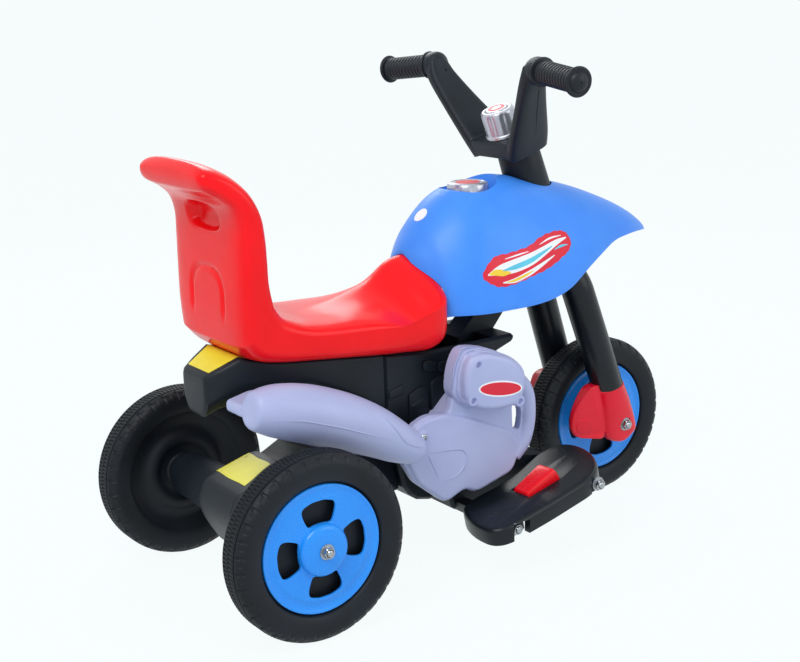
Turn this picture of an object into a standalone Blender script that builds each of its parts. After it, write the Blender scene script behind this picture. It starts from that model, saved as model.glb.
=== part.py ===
"""Battery ride-on motorcycle for small children: two rear wheels, one steered front wheel.

Metres, +X forward, +Y to the rider's left, +Z up. The origin lies on the floor, midway
between the axles. Heights of the bodywork are measured up from the axles (function high),
lengths from the rear axle (behind) or from the front axle (ahead), and everything that
steers is placed along the raked steering axis (steer).
"""

import bmesh
import bpy
from math import atan2, cos, hypot, pi, radians, sin, sqrt
from mathutils import Matrix, Vector

# Wheels and axles
WHEELBASE = 0.586
TRACK = 0.350
WHEEL_RADIUS = 0.115
TYRE_WIDTH = 0.046
TREAD_WIDTH = 0.026
SHOULDER_DROP = 0.006
BEAD_RADIUS = 0.0815
DISH_RADIUS = 0.0700
HUB_RADIUS = 0.0200
DISH_WEB = 0.0080
HUB_PLATE_RADIUS = 0.0785
HUB_PLATE_THICKNESS = 0.0022
HUB_PLATE_LIP = 0.0018
HUB_PLATE_SEAT = 0.0125
HUB_CAP_RADIUS = 0.0315
HUB_CAP_RISE = 0.0110
PLATE_OPENING_OUTER = 0.0585
PLATE_OPENING_INNER = 0.0338
PLATE_OPENINGS = 4
AXLE_RADIUS = 0.0040
NUT_CORNER_RADIUS = 0.0075
NUT_THICKNESS = 0.0060
WASHER_RADIUS = 0.0095
WASHER_THICKNESS = 0.0014
THREAD_PAST_NUT = 0.0025

# Clearances
REST_GAP = 0.0003
RUNNING_GAP = 0.0010
WHEEL_SIDE_GAP = 0.0040

# Steering
RAKE = radians(18.5)
FORK_LEG_RADIUS = 0.0226
FORK_LEG_SPREAD = 0.0460
FORK_FOOT_SPREAD = 0.0530
FORK_SHOULDER = 0.2090
FORK_LEG_FOOT = 0.0600
FORK_WALL = 0.0030
SHOE_INNER_Y = 0.0440
SHOE_OUTER_Y = 0.0690
STEERING_ROD_RADIUS = 0.0080
HEAD_TUBE_RADIUS = 0.0220
HEAD_TUBE_LENGTH = 0.0480
BUSH_WALL = 0.0035
BUSH_FLANGE = 0.0030
NECK_TOP_RADIUS = 0.0288
NECK_FOOT_RADIUS = 0.0310
BRIDGE_BOTTOM = 0.4310
BRIDGE_THICKNESS = 0.0230
GRIP_LENGTH = 0.0870
GRIP_RADIUS = 0.0155
GRIP_FLANGE_RADIUS = 0.0192
GRIP_INNER_Y = 0.1190
GRIP_RIBS = 6
KNOB_RADIUS = 0.0240
KNOB_HEIGHT = 0.0370
BUTTON_RADIUS = 0.0160
BUTTON_TRAVEL = 0.0030

# Bodywork
SEAT_LINE = 0.1940
SEAT_FALL = 0.1174
SEAT_HALF_WIDTH = 0.0910
SEAT_NOSE = 0.2790
RIDGE_ROUND = 0.0100
TANK_HALF_WIDTH = 0.0970
TANK_LINE = 0.2100
SHELL_WALL = 0.0030
CHASSIS_HALF_WIDTH = 0.0620
CHASSIS_WALL = 0.0040
SEAM = 0.1800
CAP_RADIUS = 0.0300
CAP_HEIGHT = 0.0180
CAP_WELL_RADIUS = 0.0390
CAP_WELL_FLOOR = 0.3505
CAP_AT = 0.3650
CAP_STEM_RADIUS = 0.0075
COVER_Y = 0.0920
COVER_PLATE = 0.0120
COVER_BULGE = 0.0040
HEAD_BLOCK_Y = 0.1330
PIPE_RADIUS = 0.0125
MUFFLER_Y = 0.1160
MUFFLER_RADIUS = 0.0360

# Rear drive
GEARBOX_LEFT_Y = 0.0200
GEARBOX_WALL = 0.0035
AXLE_TUBE_RADIUS = 0.0300
MOTOR_RADIUS = 0.0140
MOTOR_LENGTH = 0.0500
GEAR_MODULE = 0.0017
GEAR_TEETH = 28
PINION_TEETH = 9
GEAR_WIDTH = 0.0080
BATTERY_SIZE = (0.070, 0.100, 0.047)

# Footrests and pedal
FOOT_ROD_RADIUS = 0.0040
REAR_ROD = (0.2948, -0.0528)
FRONT_ROD = (0.4357, -0.0253)
FOOT_ROD_END_Y = 0.1880
FOOTREST_TOE_IN = radians(4.5)
FOOTREST_TOP = 0.0160
FOOTREST_DEPTH = 0.0240
FOOTREST_WALL = 0.0120
FOOTREST_SKIN = 0.0035
PEDAL_LENGTH = 0.0560
PEDAL_WIDTH = 0.0420
PEDAL_RISE = 0.0180
PEDAL_TRAVEL = radians(8)
PIN_RADIUS = 0.0020
PIN_LUG = 0.0080

REAR_X = -WHEELBASE / 2
FRONT_X = WHEELBASE / 2
WHEEL_SIDES = 36
HALF_TRACK = TRACK / 2
NUT_FACE = HUB_PLATE_SEAT + REST_GAP + HUB_PLATE_THICKNESS + HUB_CAP_RISE + REST_GAP
NUT_STACK = WASHER_THICKNESS + NUT_THICKNESS + THREAD_PAST_NUT
CROWN_CENTRE = FORK_SHOULDER + FORK_LEG_SPREAD
HEAD_BOTTOM = CROWN_CENTRE + FORK_LEG_RADIUS + REST_GAP + BUSH_FLANGE + REST_GAP
HEAD_TOP = HEAD_BOTTOM + HEAD_TUBE_LENGTH
NECK_FOOT = HEAD_TOP + REST_GAP + BUSH_FLANGE + REST_GAP
BRIDGE_TOP = BRIDGE_BOTTOM + BRIDGE_THICKNESS


def behind(x):
    """A place measured from the rear axle, at a wheelbase of 0.586.

    With another wheelbase the bodywork stretches or shortens from 0.06, past the gearbox, to 0.45.
    """
    share = min(max((x - 0.06) / 0.39, 0), 1)
    return REAR_X + x + (WHEELBASE - 0.586) * share


def ahead(x):
    return FRONT_X + x


def high(z):
    return WHEEL_RADIUS + z


def steer(s, y, t):
    """The point s up the steering axis from the front axle, y to the left, t ahead of the axis."""
    return Vector((
        FRONT_X - s * sin(RAKE) + t * cos(RAKE),
        y,
        WHEEL_RADIUS + s * cos(RAKE) + t * sin(RAKE),
    ))


def linear(value):
    return value / 12.92 if value <= 0.04045 else ((value + 0.055) / 1.055) ** 2.4


def material(name, colour, roughness, metallic=0.0):
    made = bpy.data.materials.get(name)
    if made:
        return made
    made = bpy.data.materials.new(name)
    made.use_nodes = True
    shader = made.node_tree.nodes["Principled BSDF"]
    rgb = [linear(int(colour[i:i + 2], 16) / 255) for i in (0, 2, 4)]
    shader.inputs["Base Color"].default_value = (*rgb, 1)
    shader.inputs["Roughness"].default_value = roughness
    shader.inputs["Metallic"].default_value = metallic
    made.diffuse_color = (*rgb, 1)
    return made


def black_plastic():
    return material("black_moulded_plastic", "22282E", 0.45)


def tyre_plastic():
    return material("tyre_plastic", "1C1F23", 0.60)


def grip_rubber():
    return material("grip_rubber", "1B1E22", 0.55)


def blue_shell():
    return material("blue_blow_moulding", "4A8AF5", 0.40)


def blue_rim():
    return material("blue_rim_plastic", "2F8CF5", 0.30)


def red_seat():
    return material("red_blow_moulding", "F5222A", 0.40)


def red_plastic():
    return material("red_moulded_plastic", "E8203A", 0.30)


def grey_cover():
    return material("grey_lilac_plastic", "B5B5D0", 0.40)


def silver():
    return material("silver_painted_plastic", "B9BBC3", 0.30, 0.6)


def zinc():
    return material("zinc_plated_steel", "C4C6C8", 0.30, 1.0)


def nylon():
    return material("white_nylon", "E8E6DE", 0.50)


def battery_case():
    return material("battery_case", "4A4F57", 0.50)


def empty(name, place, parent=None):
    made = bpy.data.objects.new(name, None)
    made.empty_display_size = 0.03
    made.location = place
    bpy.context.scene.collection.objects.link(made)
    if parent:
        made.parent = parent
        made.matrix_parent_inverse = Matrix.Translation(parent.matrix_world.translation).inverted()
    bpy.context.view_layer.update()
    return made


def piece(name, shape, finish, carrier=None, sharp=35):
    """Turns a bmesh in world places into an object whose origin is its carrier's place."""
    bmesh.ops.remove_doubles(shape, verts=shape.verts, dist=1e-6)
    bmesh.ops.recalc_face_normals(shape, faces=shape.faces)
    pivot = carrier.matrix_world.translation.copy() if carrier else Vector()
    bmesh.ops.translate(shape, verts=shape.verts, vec=-pivot)
    mesh = bpy.data.meshes.new(name)
    shape.to_mesh(mesh)
    shape.free()
    mesh.materials.append(finish)
    mesh.shade_smooth()
    mesh.set_sharp_from_angle(angle=radians(sharp))
    made = bpy.data.objects.new(name, mesh)
    bpy.context.scene.collection.objects.link(made)
    if carrier:
        made.parent = carrier
    return made


def boolean(shape, tools, operation):
    """Joins or cuts one bmesh with others, and gives back a new bmesh."""
    body = piece("working_body", shape, black_plastic())
    for tool in tools:
        other = piece("working_tool", tool, black_plastic())
        step = body.modifiers.new("boolean", "BOOLEAN")
        step.operation = operation
        step.solver = "EXACT"
        step.object = other
        graph = bpy.context.evaluated_depsgraph_get()
        result = bpy.data.meshes.new_from_object(body.evaluated_get(graph))
        body.modifiers.clear()
        body.data = result
        bpy.data.objects.remove(other)
    made = bmesh.new()
    made.from_mesh(body.data)
    bpy.data.objects.remove(body)
    return made


def fuse(shape, *tools):
    return boolean(shape, tools, "UNION")


def cut(shape, *tools):
    return boolean(shape, tools, "DIFFERENCE")


def loft(rings, closed=False):
    """Skins rings of equally many points; closed joins the last ring to the first."""
    made = bmesh.new()
    rows = [[made.verts.new(point) for point in ring] for ring in rings]
    count = len(rows[0])
    pairs = list(zip(rows, rows[1:]))
    if closed:
        pairs.append((rows[-1], rows[0]))
    for low, top in pairs:
        for i in range(count):
            j = (i + 1) % count
            made.faces.new((low[i], low[j], top[j], top[i]))
    if not closed:
        made.faces.new(rows[0][::-1])
        made.faces.new(rows[-1])
    return made


def turned(profile, centre, axis, sides, bored=True, phase=0.5, lobes=None):
    """Turns (along, radius) points about an axis. A bored profile is a closed loop."""
    centre = Vector(centre)
    axis = Vector(axis).normalized()
    first = axis.orthogonal() if abs(axis.z) > 0.9 else Vector((0, 0, 1)).cross(axis)
    first.normalize()
    second = axis.cross(first)
    rings = []
    for along, radius in profile:
        ring = []
        for i in range(sides):
            turn = 2 * pi * (i + phase) / sides
            reach = radius * (lobes(turn, along, radius) if lobes else 1)
            ring.append(centre + axis * along + (first * cos(turn) + second * sin(turn)) * reach)
        rings.append(ring)
    return loft(rings, closed=bored)


def rod(start, end, radius, sides=12):
    start, end = Vector(start), Vector(end)
    return turned([(0, radius), ((end - start).length, radius)], start, end - start, sides, False)


def outset(radius, sides):
    """The corner radius of a polygon whose flats lie this far from its middle."""
    return radius / cos(pi / sides)


def prism(outline, low, top, place):
    """Extrudes a closed outline from one depth to another; place turns (u, v, depth) to a point."""
    return loft([[place(u, v, depth) for u, v in outline] for depth in (low, top)])


def side_view(u, v, depth):
    return Vector((behind(u), depth, high(v)))


def bevelled(shape, width, segments=2, sharper=40):
    """Rounds the edges of a bmesh whose faces meet at more than an angle."""
    shape.normal_update()
    sharp = [e for e in shape.edges if e.is_manifold and e.calc_face_angle(0) > radians(sharper)]
    bmesh.ops.bevel(
        shape, geom=sharp, offset=width, segments=segments, profile=0.5, affect="EDGES", clamp_overlap=True,
    )
    return shape


def block(low, top):
    corners = [(low[0], low[1]), (top[0], low[1]), (top[0], top[1]), (low[0], top[1])]
    return loft([[Vector((x, y, z)) for x, y in corners] for z in (low[2], top[2])])


def mirrored(shape):
    bmesh.ops.transform(shape, matrix=Matrix.Scale(-1, 4, (0, 1, 0)), verts=shape.verts)
    bmesh.ops.reverse_faces(shape, faces=shape.faces)
    return shape


def power(value, exponent):
    return (abs(value) ** exponent) * (1 if value >= 0 else -1)


def oval(half_width, half_height, sides, exponent=2.0, lower=None):
    """A closed superellipse, with its own exponent below the middle where one is given."""
    points = []
    for i in range(sides):
        turn = 2 * pi * (i + 0.5) / sides
        n = exponent if sin(turn) >= 0 or lower is None else lower
        points.append((half_width * power(cos(turn), 2 / n), half_height * power(sin(turn), 2 / n)))
    return points


def shrunk(outline, wall):
    """The outline moved inwards by a wall, corner by corner."""
    middle_u = sum(u for u, _ in outline) / len(outline)
    middle_v = sum(v for _, v in outline) / len(outline)
    half_u = max(abs(u - middle_u) for u, _ in outline)
    half_v = max(abs(v - middle_v) for _, v in outline)
    share_u, share_v = 1 - wall / half_u, 1 - wall / half_v
    return [(middle_u + (u - middle_u) * share_u, middle_v + (v - middle_v) * share_v) for u, v in outline]


# Wheels: a black blow-moulded wheel with its tyre in one, and a blue plate clipped to its face

def tyre_side(sign):
    """One half of the tyre's section from bead to tread edge, as (along, radius)."""
    half = TYRE_WIDTH / 2
    depth = WHEEL_RADIUS - BEAD_RADIUS
    return [
        (sign * (half - 0.0055), BEAD_RADIUS),
        (sign * (half - 0.0012), BEAD_RADIUS + 0.22 * depth),
        (sign * half, BEAD_RADIUS + 0.50 * depth),
        (sign * (half - 0.0020), WHEEL_RADIUS - SHOULDER_DROP),
        (sign * TREAD_WIDTH / 2, WHEEL_RADIUS),
    ]


def plated_side(sign):
    """The outer face from tyre bead to bore, with the ledge that carries the blue plate."""
    bore = outset(AXLE_RADIUS + REST_GAP, WHEEL_SIDES)
    return [
        (sign * HUB_PLATE_SEAT, HUB_PLATE_RADIUS + RUNNING_GAP),
        (sign * HUB_PLATE_SEAT, HUB_PLATE_RADIUS - 0.0030),
        (sign * DISH_WEB / 2, DISH_RADIUS),
        (sign * DISH_WEB / 2, HUB_RADIUS),
        (sign * HUB_PLATE_SEAT, HUB_RADIUS),
        (sign * HUB_PLATE_SEAT, bore),
    ]


def dished_side():
    """The inner face of a rear wheel: a closed dish with a stepped ring, from bead to bore."""
    bore = outset(AXLE_RADIUS + REST_GAP, WHEEL_SIDES)
    ring = (DISH_RADIUS + HUB_RADIUS) / 2
    return [
        (-0.0130, DISH_RADIUS + 0.0050),
        (-0.0070, DISH_RADIUS - 0.0020),
        (-0.0070, ring + 0.0080),
        (-0.0110, ring + 0.0040),
        (-0.0110, ring - 0.0040),
        (-DISH_WEB / 2, ring - 0.0090),
        (-DISH_WEB / 2, HUB_RADIUS),
        (-TYRE_WIDTH / 2, HUB_RADIUS),
        (-TYRE_WIDTH / 2, bore),
    ]


def wheel(name, centre, outward, both_sides, carrier):
    """outward is +1 for the left side of the vehicle and -1 for the right."""
    inner = plated_side(-1) if both_sides else dished_side()
    profile = plated_side(1)[::-1] + tyre_side(1) + tyre_side(-1)[::-1] + inner
    facets = [(along, outset(radius, WHEEL_SIDES)) if radius >= WHEEL_RADIUS else (along, radius)
              for along, radius in profile]
    shape = turned(facets, centre, (0, outward, 0), WHEEL_SIDES)
    piece(name, shape, tyre_plastic(), carrier)


def plate_opening(index, outward, centre, outline_turn):
    """The cutter for one opening: a curved trapezoid, waisted in the middle."""
    spans = ((PLATE_OPENING_INNER, 26.5), (0.046, 26.5), (PLATE_OPENING_OUTER, 22.5))
    middle = 2 * pi * index / PLATE_OPENINGS + outline_turn
    outline = [(radius, middle - radians(half)) for radius, half in spans]
    outline += [(PLATE_OPENING_OUTER * 1.02, middle)]
    outline += [(radius, middle + radians(half)) for radius, half in reversed(spans)]
    outline += [(PLATE_OPENING_INNER * 0.96, middle)]
    rings = [[Vector((centre[0] + radius * sin(turn), centre[1] + outward * depth,
                      centre[2] + radius * cos(turn))) for radius, turn in outline]
             for depth in (0.008, 0.022)]
    return loft(rings)


def hub_plate(name, centre, outward, carrier):
    back = HUB_PLATE_SEAT + REST_GAP
    face = back + HUB_PLATE_THICKNESS
    bore = outset(AXLE_RADIUS + REST_GAP, WHEEL_SIDES)
    profile = [
        (back, bore),
        (back, HUB_PLATE_RADIUS),
        (face + HUB_PLATE_LIP, HUB_PLATE_RADIUS),
        (face + HUB_PLATE_LIP, HUB_PLATE_RADIUS - 0.0035),
        (face, HUB_PLATE_RADIUS - 0.0065),
        (face, HUB_CAP_RADIUS + 0.0010),
        (face + 0.75 * HUB_CAP_RISE, HUB_CAP_RADIUS),
        (face + HUB_CAP_RISE, HUB_CAP_RADIUS - 0.0040),
        (face + HUB_CAP_RISE, bore),
    ]
    shape = turned(profile, centre, (0, outward, 0), WHEEL_SIDES)
    openings = [plate_opening(i, outward, centre, radians(-2.5)) for i in range(PLATE_OPENINGS)]
    piece(name, cut(shape, *openings), blue_rim(), carrier)


def fastener(name, base, axis, carrier=None, bore_radius=AXLE_RADIUS):
    """A hexagon nut on its washer, with the thread's hole through both."""
    bore = outset(bore_radius + REST_GAP, 12)
    top = WASHER_THICKNESS + NUT_THICKNESS
    profile = [
        (0, bore), (0, WASHER_RADIUS), (WASHER_THICKNESS, WASHER_RADIUS),
        (WASHER_THICKNESS, NUT_CORNER_RADIUS), (top, NUT_CORNER_RADIUS), (top, bore),
    ]

    def hexagon(turn, along, radius):
        if radius != NUT_CORNER_RADIUS:
            return 1
        return cos(pi / 6) / cos((turn + pi / 6) % (pi / 3) - pi / 6)

    piece(name, turned(profile, base, axis, 12, phase=0, lobes=hexagon), zinc(), carrier)


def nut_run(end_y):
    """How far a rod reaches, so that its thread ends past the nut that starts at end_y."""
    return end_y + NUT_STACK


# Rear axle, gearbox and motor

def rear_axle(frame):
    reach = nut_run(HALF_TRACK + NUT_FACE)
    bar = rod((REAR_X, -reach, WHEEL_RADIUS), (REAR_X, reach, WHEEL_RADIUS), AXLE_RADIUS)
    piece("rear_axle", bar, zinc(), frame)
    for side, name in ((-1, "rear_right_axle_nut"), (1, "rear_left_axle_nut")):
        fastener(name, (REAR_X, side * (HALF_TRACK + NUT_FACE), WHEEL_RADIUS), (0, side, 0), frame)


GEARBOX_PROFILE = (
    (-0.0250, 0.0406), (-0.0415, 0.0340), (-0.0495, 0.0120), (-0.0465, -0.0060), (-0.0370, -0.0250),
    (-0.0210, -0.0515), (-0.0040, -0.0590), (0.0150, -0.0600), (0.0340, -0.0520), (0.0470, -0.0340),
    (0.0520, -0.0100), (0.0500, 0.0200), (0.0460, 0.0450), (0.0390, 0.0565), (0.0260, 0.0550),
)


def gearbox_outline(wall, share=1.0):
    """The gearbox in side view, its top sloping up to the front, moved inwards by a wall."""
    outline = shrunk(GEARBOX_PROFILE, wall) if wall else GEARBOX_PROFILE
    return [(u * share, v * share) for u, v in outline]


def gearbox(frame, right_end):
    left_end = GEARBOX_LEFT_Y
    wall = GEARBOX_WALL
    shape = prism(gearbox_outline(0), -right_end, left_end, side_view)
    inside = prism(gearbox_outline(wall), -right_end + wall, left_end + wall, side_view)
    axle_hole = rod((REAR_X, -right_end - 0.01, WHEEL_RADIUS), (REAR_X, left_end + 0.01, WHEEL_RADIUS),
                    outset(AXLE_RADIUS + REST_GAP, 12))
    piece("gearbox_housing", cut(shape, inside, axle_hole), black_plastic(), frame)
    shoulder = [(left_end + REST_GAP, 1.0), (left_end + 0.008, 0.95), (left_end + 0.018, 0.74)]
    lid = loft([[side_view(u, v, depth) for u, v in gearbox_outline(0, share)]
                for depth, share in shoulder])
    spigot = prism(gearbox_outline(wall + REST_GAP), left_end - wall, left_end + wall, side_view)
    tube_end = HALF_TRACK - TYRE_WIDTH / 2 - WHEEL_SIDE_GAP
    start = left_end + 0.006
    tube = turned([(0, AXLE_TUBE_RADIUS + 0.004), (tube_end - start, AXLE_TUBE_RADIUS)],
                  (REAR_X, start, WHEEL_RADIUS), (0, 1, 0), 20, False)
    through = rod((REAR_X, 0, WHEEL_RADIUS), (REAR_X, tube_end + 0.01, WHEEL_RADIUS),
                  outset(AXLE_RADIUS + REST_GAP, 12))
    piece("axle_tube", cut(fuse(lid, spigot, tube), through), black_plastic(), frame)


def toothed(name, centre, teeth, width, bore_radius, carrier, phase):
    """A spur gear with straight-sided teeth, thin enough to run with backlash."""
    pitch = GEAR_MODULE * teeth / 2
    tip = pitch + 0.85 * GEAR_MODULE
    root = pitch - 1.15 * GEAR_MODULE
    outline = []
    bore = []
    hole = bore_radius / cos(pi / (4 * teeth))
    for i in range(teeth):
        middle = 2 * pi * (i + phase) / teeth
        for radius, share in ((root, -0.34), (tip, -0.12), (tip, 0.12), (root, 0.34)):
            turn = middle + share * 2 * pi / teeth
            outline.append((radius * cos(turn), radius * sin(turn)))
            bore.append((hole * cos(turn), hole * sin(turn)))
    rings = []
    for ring, depth in ((bore, 0), (outline, 0), (outline, width), (bore, width)):
        rings.append([Vector((centre[0] + u, centre[1] + depth, centre[2] + v)) for u, v in ring])
    piece(name, loft(rings, closed=True), nylon(), carrier)


def drive(frame, wheel_body, pinion_body, gear_y, motor_at):
    """The motor lies up and ahead of the axle; a gap of the gear meets a tooth of the pinion there."""
    toothed("drive_gear", (REAR_X, gear_y, WHEEL_RADIUS), GEAR_TEETH, GEAR_WIDTH,
            AXLE_RADIUS + REST_GAP, wheel_body, GEAR_TEETH / 8 - 0.5)
    toothed("motor_pinion", (motor_at[0], gear_y, motor_at[1]), PINION_TEETH, GEAR_WIDTH,
            0.0012 + REST_GAP, pinion_body, PINION_TEETH * 5 / 8)
    body = turned([(0, 0.004), (0.0015, 0.004), (0.0015, MOTOR_RADIUS), (MOTOR_LENGTH, MOTOR_RADIUS)],
                  (motor_at[0], gear_y + GEAR_WIDTH + RUNNING_GAP, motor_at[1]), (0, 1, 0), 16, False)
    shaft = rod((motor_at[0], gear_y - 0.001, motor_at[1]),
                (motor_at[0], gear_y + GEAR_WIDTH + 0.004, motor_at[1]), 0.0012, 8)
    piece("drive_motor", fuse(body, shaft), zinc(), frame)


# Chassis: a tail housing over the rear wheels and an engine block ahead of it

def tail_section(x, top, low, half, chamfer):
    """A hexagonal section: flat top, upright sides, and a bottom narrowed by its chamfers."""
    return [
        Vector((behind(x), y, high(z))) for y, z in (
            (-half, top), (half, top), (half, low + chamfer), (half * 0.66, low),
            (-half * 0.66, low), (-half, low + chamfer),
        )
    ]


def tail_housing(frame):
    def top(x):
        return under_seat(x) - REST_GAP

    stations = (
        (-0.0570, 0.1815, 0.1320, 0.0290, 0.018),
        (-0.0540, 0.1835, 0.1290, 0.0310, 0.018),
        (-0.0380, 0.1910, 0.1380, 0.0400, 0.018),
        (-0.0145, 0.2022, 0.1400, 0.0480, 0.024),
        (-0.0085, 0.2003, 0.1400, 0.0500, 0.026),
        (0.0200, top(0.0200), 0.1400, CHASSIS_HALF_WIDTH - 0.003, 0.028),
        (0.0400, top(0.0400), 0.1400, CHASSIS_HALF_WIDTH, 0.027),
        (0.0750, top(0.0750), 0.1350, CHASSIS_HALF_WIDTH, 0.023),
        (0.1150, top(0.1150), 0.1200, CHASSIS_HALF_WIDTH, 0.020),
        (SEAM - REST_GAP, top(SEAM), 0.0850, CHASSIS_HALF_WIDTH, 0.017),
    )
    shape = loft([tail_section(*row) for row in stations])
    wall = CHASSIS_WALL
    inner = [(x, high_top + 0.01, low + wall, half - wall, chamfer)
             for x, high_top, low, half, chamfer in stations[5:]]
    inner[-1] = (SEAM - wall, *inner[-1][1:])
    shape = cut(shape, loft([tail_section(*row) for row in inner]))
    piece("tail_housing", shape, black_plastic(), frame, 25)


def head_tube_parts(radius, low, top, sides):
    return rod(steer(low, 0, 0), steer(top, 0, 0), radius, sides)


BLOCK_REAR = ((SEAM, 0.0900), (0.2046, -0.0106))


def engine_block(frame):
    """The front chassis moulding: keel with both rod lugs, block, and beam up to the head tube."""
    top = under_seat(0.2500) - REST_GAP
    half = CHASSIS_HALF_WIDTH
    lug = 0.014
    outline = [
        (0.2500, top), (SEAM, under_seat(SEAM) - REST_GAP), *BLOCK_REAR,
        (0.2134, -0.0224), (0.2251, -0.0315), (0.2450, -0.0360),
        (REAR_ROD[0] - 1.4 * lug, -0.0370), (REAR_ROD[0] - 0.8 * lug, REAR_ROD[1] - 0.6 * lug),
        (REAR_ROD[0] + lug, REAR_ROD[1] - 0.6 * lug), (FRONT_ROD[0], FRONT_ROD[1] - lug),
        (FRONT_ROD[0] + 0.8 * lug, FRONT_ROD[1] - 0.3 * lug),
        (FRONT_ROD[0] + 0.8 * lug, FRONT_ROD[1] + 0.6 * lug), (FRONT_ROD[0], FRONT_ROD[1] + lug),
        (0.3600, 0.0050), (0.3600, 0.1460), (0.3920, 0.1570), (0.3920, top),
    ]
    shape = bevelled(prism(outline, -half, half, side_view), 0.004, 1)
    tray_end = 0.3600 - CHASSIS_WALL
    tray = [(SEAM + CHASSIS_WALL, top + 0.03), (SEAM + CHASSIS_WALL, 0.0650),
            (tray_end, 0.0650), (tray_end, top + 0.03)]
    hollow = prism(tray, -half + CHASSIS_WALL, half - CHASSIS_WALL, side_view)
    shape = cut(shape, hollow)
    beam_half = HEAD_TUBE_RADIUS * 0.8
    foot = ((0.3500, 0.1200), (0.3900, 0.1620))
    head = [steer(HEAD_BOTTOM + 0.018, 0, 0), steer(HEAD_TOP - 0.004, 0, 0)]
    rows = [(behind(foot[0][0]), high(foot[0][1])), (head[0].x, head[0].z), (head[1].x, head[1].z),
            (behind(0.3300), high(top - 0.004)), (behind(0.3300), high(0.1400))]
    beam = prism(rows, -beam_half, beam_half, lambda u, v, depth: Vector((u, depth, v)))
    tube = head_tube_parts(HEAD_TUBE_RADIUS, HEAD_BOTTOM, HEAD_TOP, 20)
    shape = fuse(shape, beam, tube)
    bush_room = outset(STEERING_ROD_RADIUS + BUSH_WALL + REST_GAP, 20)
    bore = head_tube_parts(bush_room, HEAD_BOTTOM - 0.01, HEAD_TOP + 0.01, 20)
    holes = [rod(side_view(*place, -half - 0.01), side_view(*place, half + 0.01),
                 outset(FOOT_ROD_RADIUS + REST_GAP, 12)) for place in (REAR_ROD, FRONT_ROD)]
    piece("engine_block", cut(shape, bore, *holes), black_plastic(), frame, 25)


def axle_bracket(frame):
    """The arm that ties the gearbox to the underside of both chassis mouldings."""
    gap = 1.3 * REST_GAP
    rows = [(0.0400, -0.0200), (0.1955, -0.0164), (0.2046 - gap, -0.0150), (0.2046 - gap, -0.0106),
            (SEAM - gap, 0.0850 - gap), (0.1150, 0.1200 - gap), (0.0750, 0.1350 - gap),
            (0.0450, 0.1390), (0.0480, 0.1200), (0.0780, 0.0950), (0.0870, 0.0700), (0.0842, 0.0576),
            (0.0594, 0.0452), (0.0400, 0.0380)]
    shape = prism(rows, -0.0500, 0.0500, side_view)
    saddle = prism(gearbox_outline(-REST_GAP), -0.06, 0.06, side_view)
    piece("rear_axle_bracket", cut(shape, saddle), black_plastic(), frame, 25)


def battery(frame):
    length, width, height = BATTERY_SIZE
    low = (behind(0.2300), -width / 2, high(0.0650 + REST_GAP))
    top = (low[0] + length, width / 2, low[2] + height)
    case = bevelled(block(low, top), 0.002, 1)
    posts = [block((low[0] + 0.010, side * 0.030 - 0.004, top[2] - 0.002),
                   (low[0] + 0.018, side * 0.030 + 0.004, top[2] + 0.006)) for side in (-1, 1)]
    piece("battery", fuse(case, *posts), battery_case(), frame)


# Seat: one hollow moulding that is saddle, nose and backrest, with a grab lip

SEAT_STATIONS = (
    # front or upper point, rear or lower point, share of the half width, roundness above,
    # fall of the ridge's sides
    (0.2790, 0.2760, 0.2790, 0.1950, 0.550, 3.0, 0.6200),
    (0.2760, 0.2810, 0.2760, 0.1880, 0.700, 3.4, 0.6200),
    (0.2700, 0.2840, 0.2700, 0.1820, 0.840, 4.0, 0.6200),
    (0.2600, 0.2850, 0.2600, 0.1740, 0.955, 4.4, 0.6200),
    (0.2440, 0.2835, 0.2430, 0.1690, 1.000, 4.8, 0.6800),
    (0.2300, 0.2785, 0.2300, 0.1693, 1.000, 5.0, 0.7800),
    (0.2160, 0.2685, 0.2160, 0.1710, 1.000, 5.0, 0.7300),
    (0.2000, 0.2580, 0.2000, 0.1730, 1.000, 5.0, 0.5500),
    (0.1780, 0.2505, 0.1780, 0.1750, 1.000, 5.0, 0.3600),
    (0.1450, 0.2420, 0.1450, 0.1790, 1.000, 5.0, 0.1600),
    (0.1050, 0.2370, 0.1050, 0.1840, 1.000, 5.0, 0.0500),
    (0.0680, 0.2375, 0.0600, 0.1893, 1.000, 5.0, 0.0000),
    (0.0440, 0.2460, 0.0200, 0.1940, 1.000, 5.0, 0.0000),
    (0.0280, 0.2560, -0.0100, 0.2020, 1.000, 5.0, 0.0000),
    (0.0180, 0.2720, -0.0290, 0.2210, 1.000, 5.0, 0.0000),
    (0.0130, 0.2980, -0.0310, 0.2550, 1.000, 5.0, 0.0000),
    (0.0122, 0.3250, -0.0300, 0.3050, 1.010, 5.0, 0.0000),
    (0.0115, 0.3500, -0.0290, 0.3400, 1.015, 5.0, 0.0000),
    (0.0080, 0.3780, -0.0290, 0.3660, 1.010, 4.8, 0.0000),
    (-0.0040, 0.4040, -0.0350, 0.3860, 0.995, 4.4, 0.0000),
    (-0.0230, 0.4245, -0.0480, 0.3990, 0.975, 4.0, 0.0000),
    (-0.0440, 0.4375, -0.0590, 0.4060, 0.950, 3.6, 0.0000),
    (-0.0610, 0.4425, -0.0675, 0.4110, 0.920, 3.2, 0.0000),
    (-0.0710, 0.4380, -0.0725, 0.4180, 0.885, 2.6, 0.0000),
)


def under_seat(x):
    """Height of the seat's flat underside, and of what carries it."""
    return SEAT_LINE - SEAT_FALL * (x - 0.0200)


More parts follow.
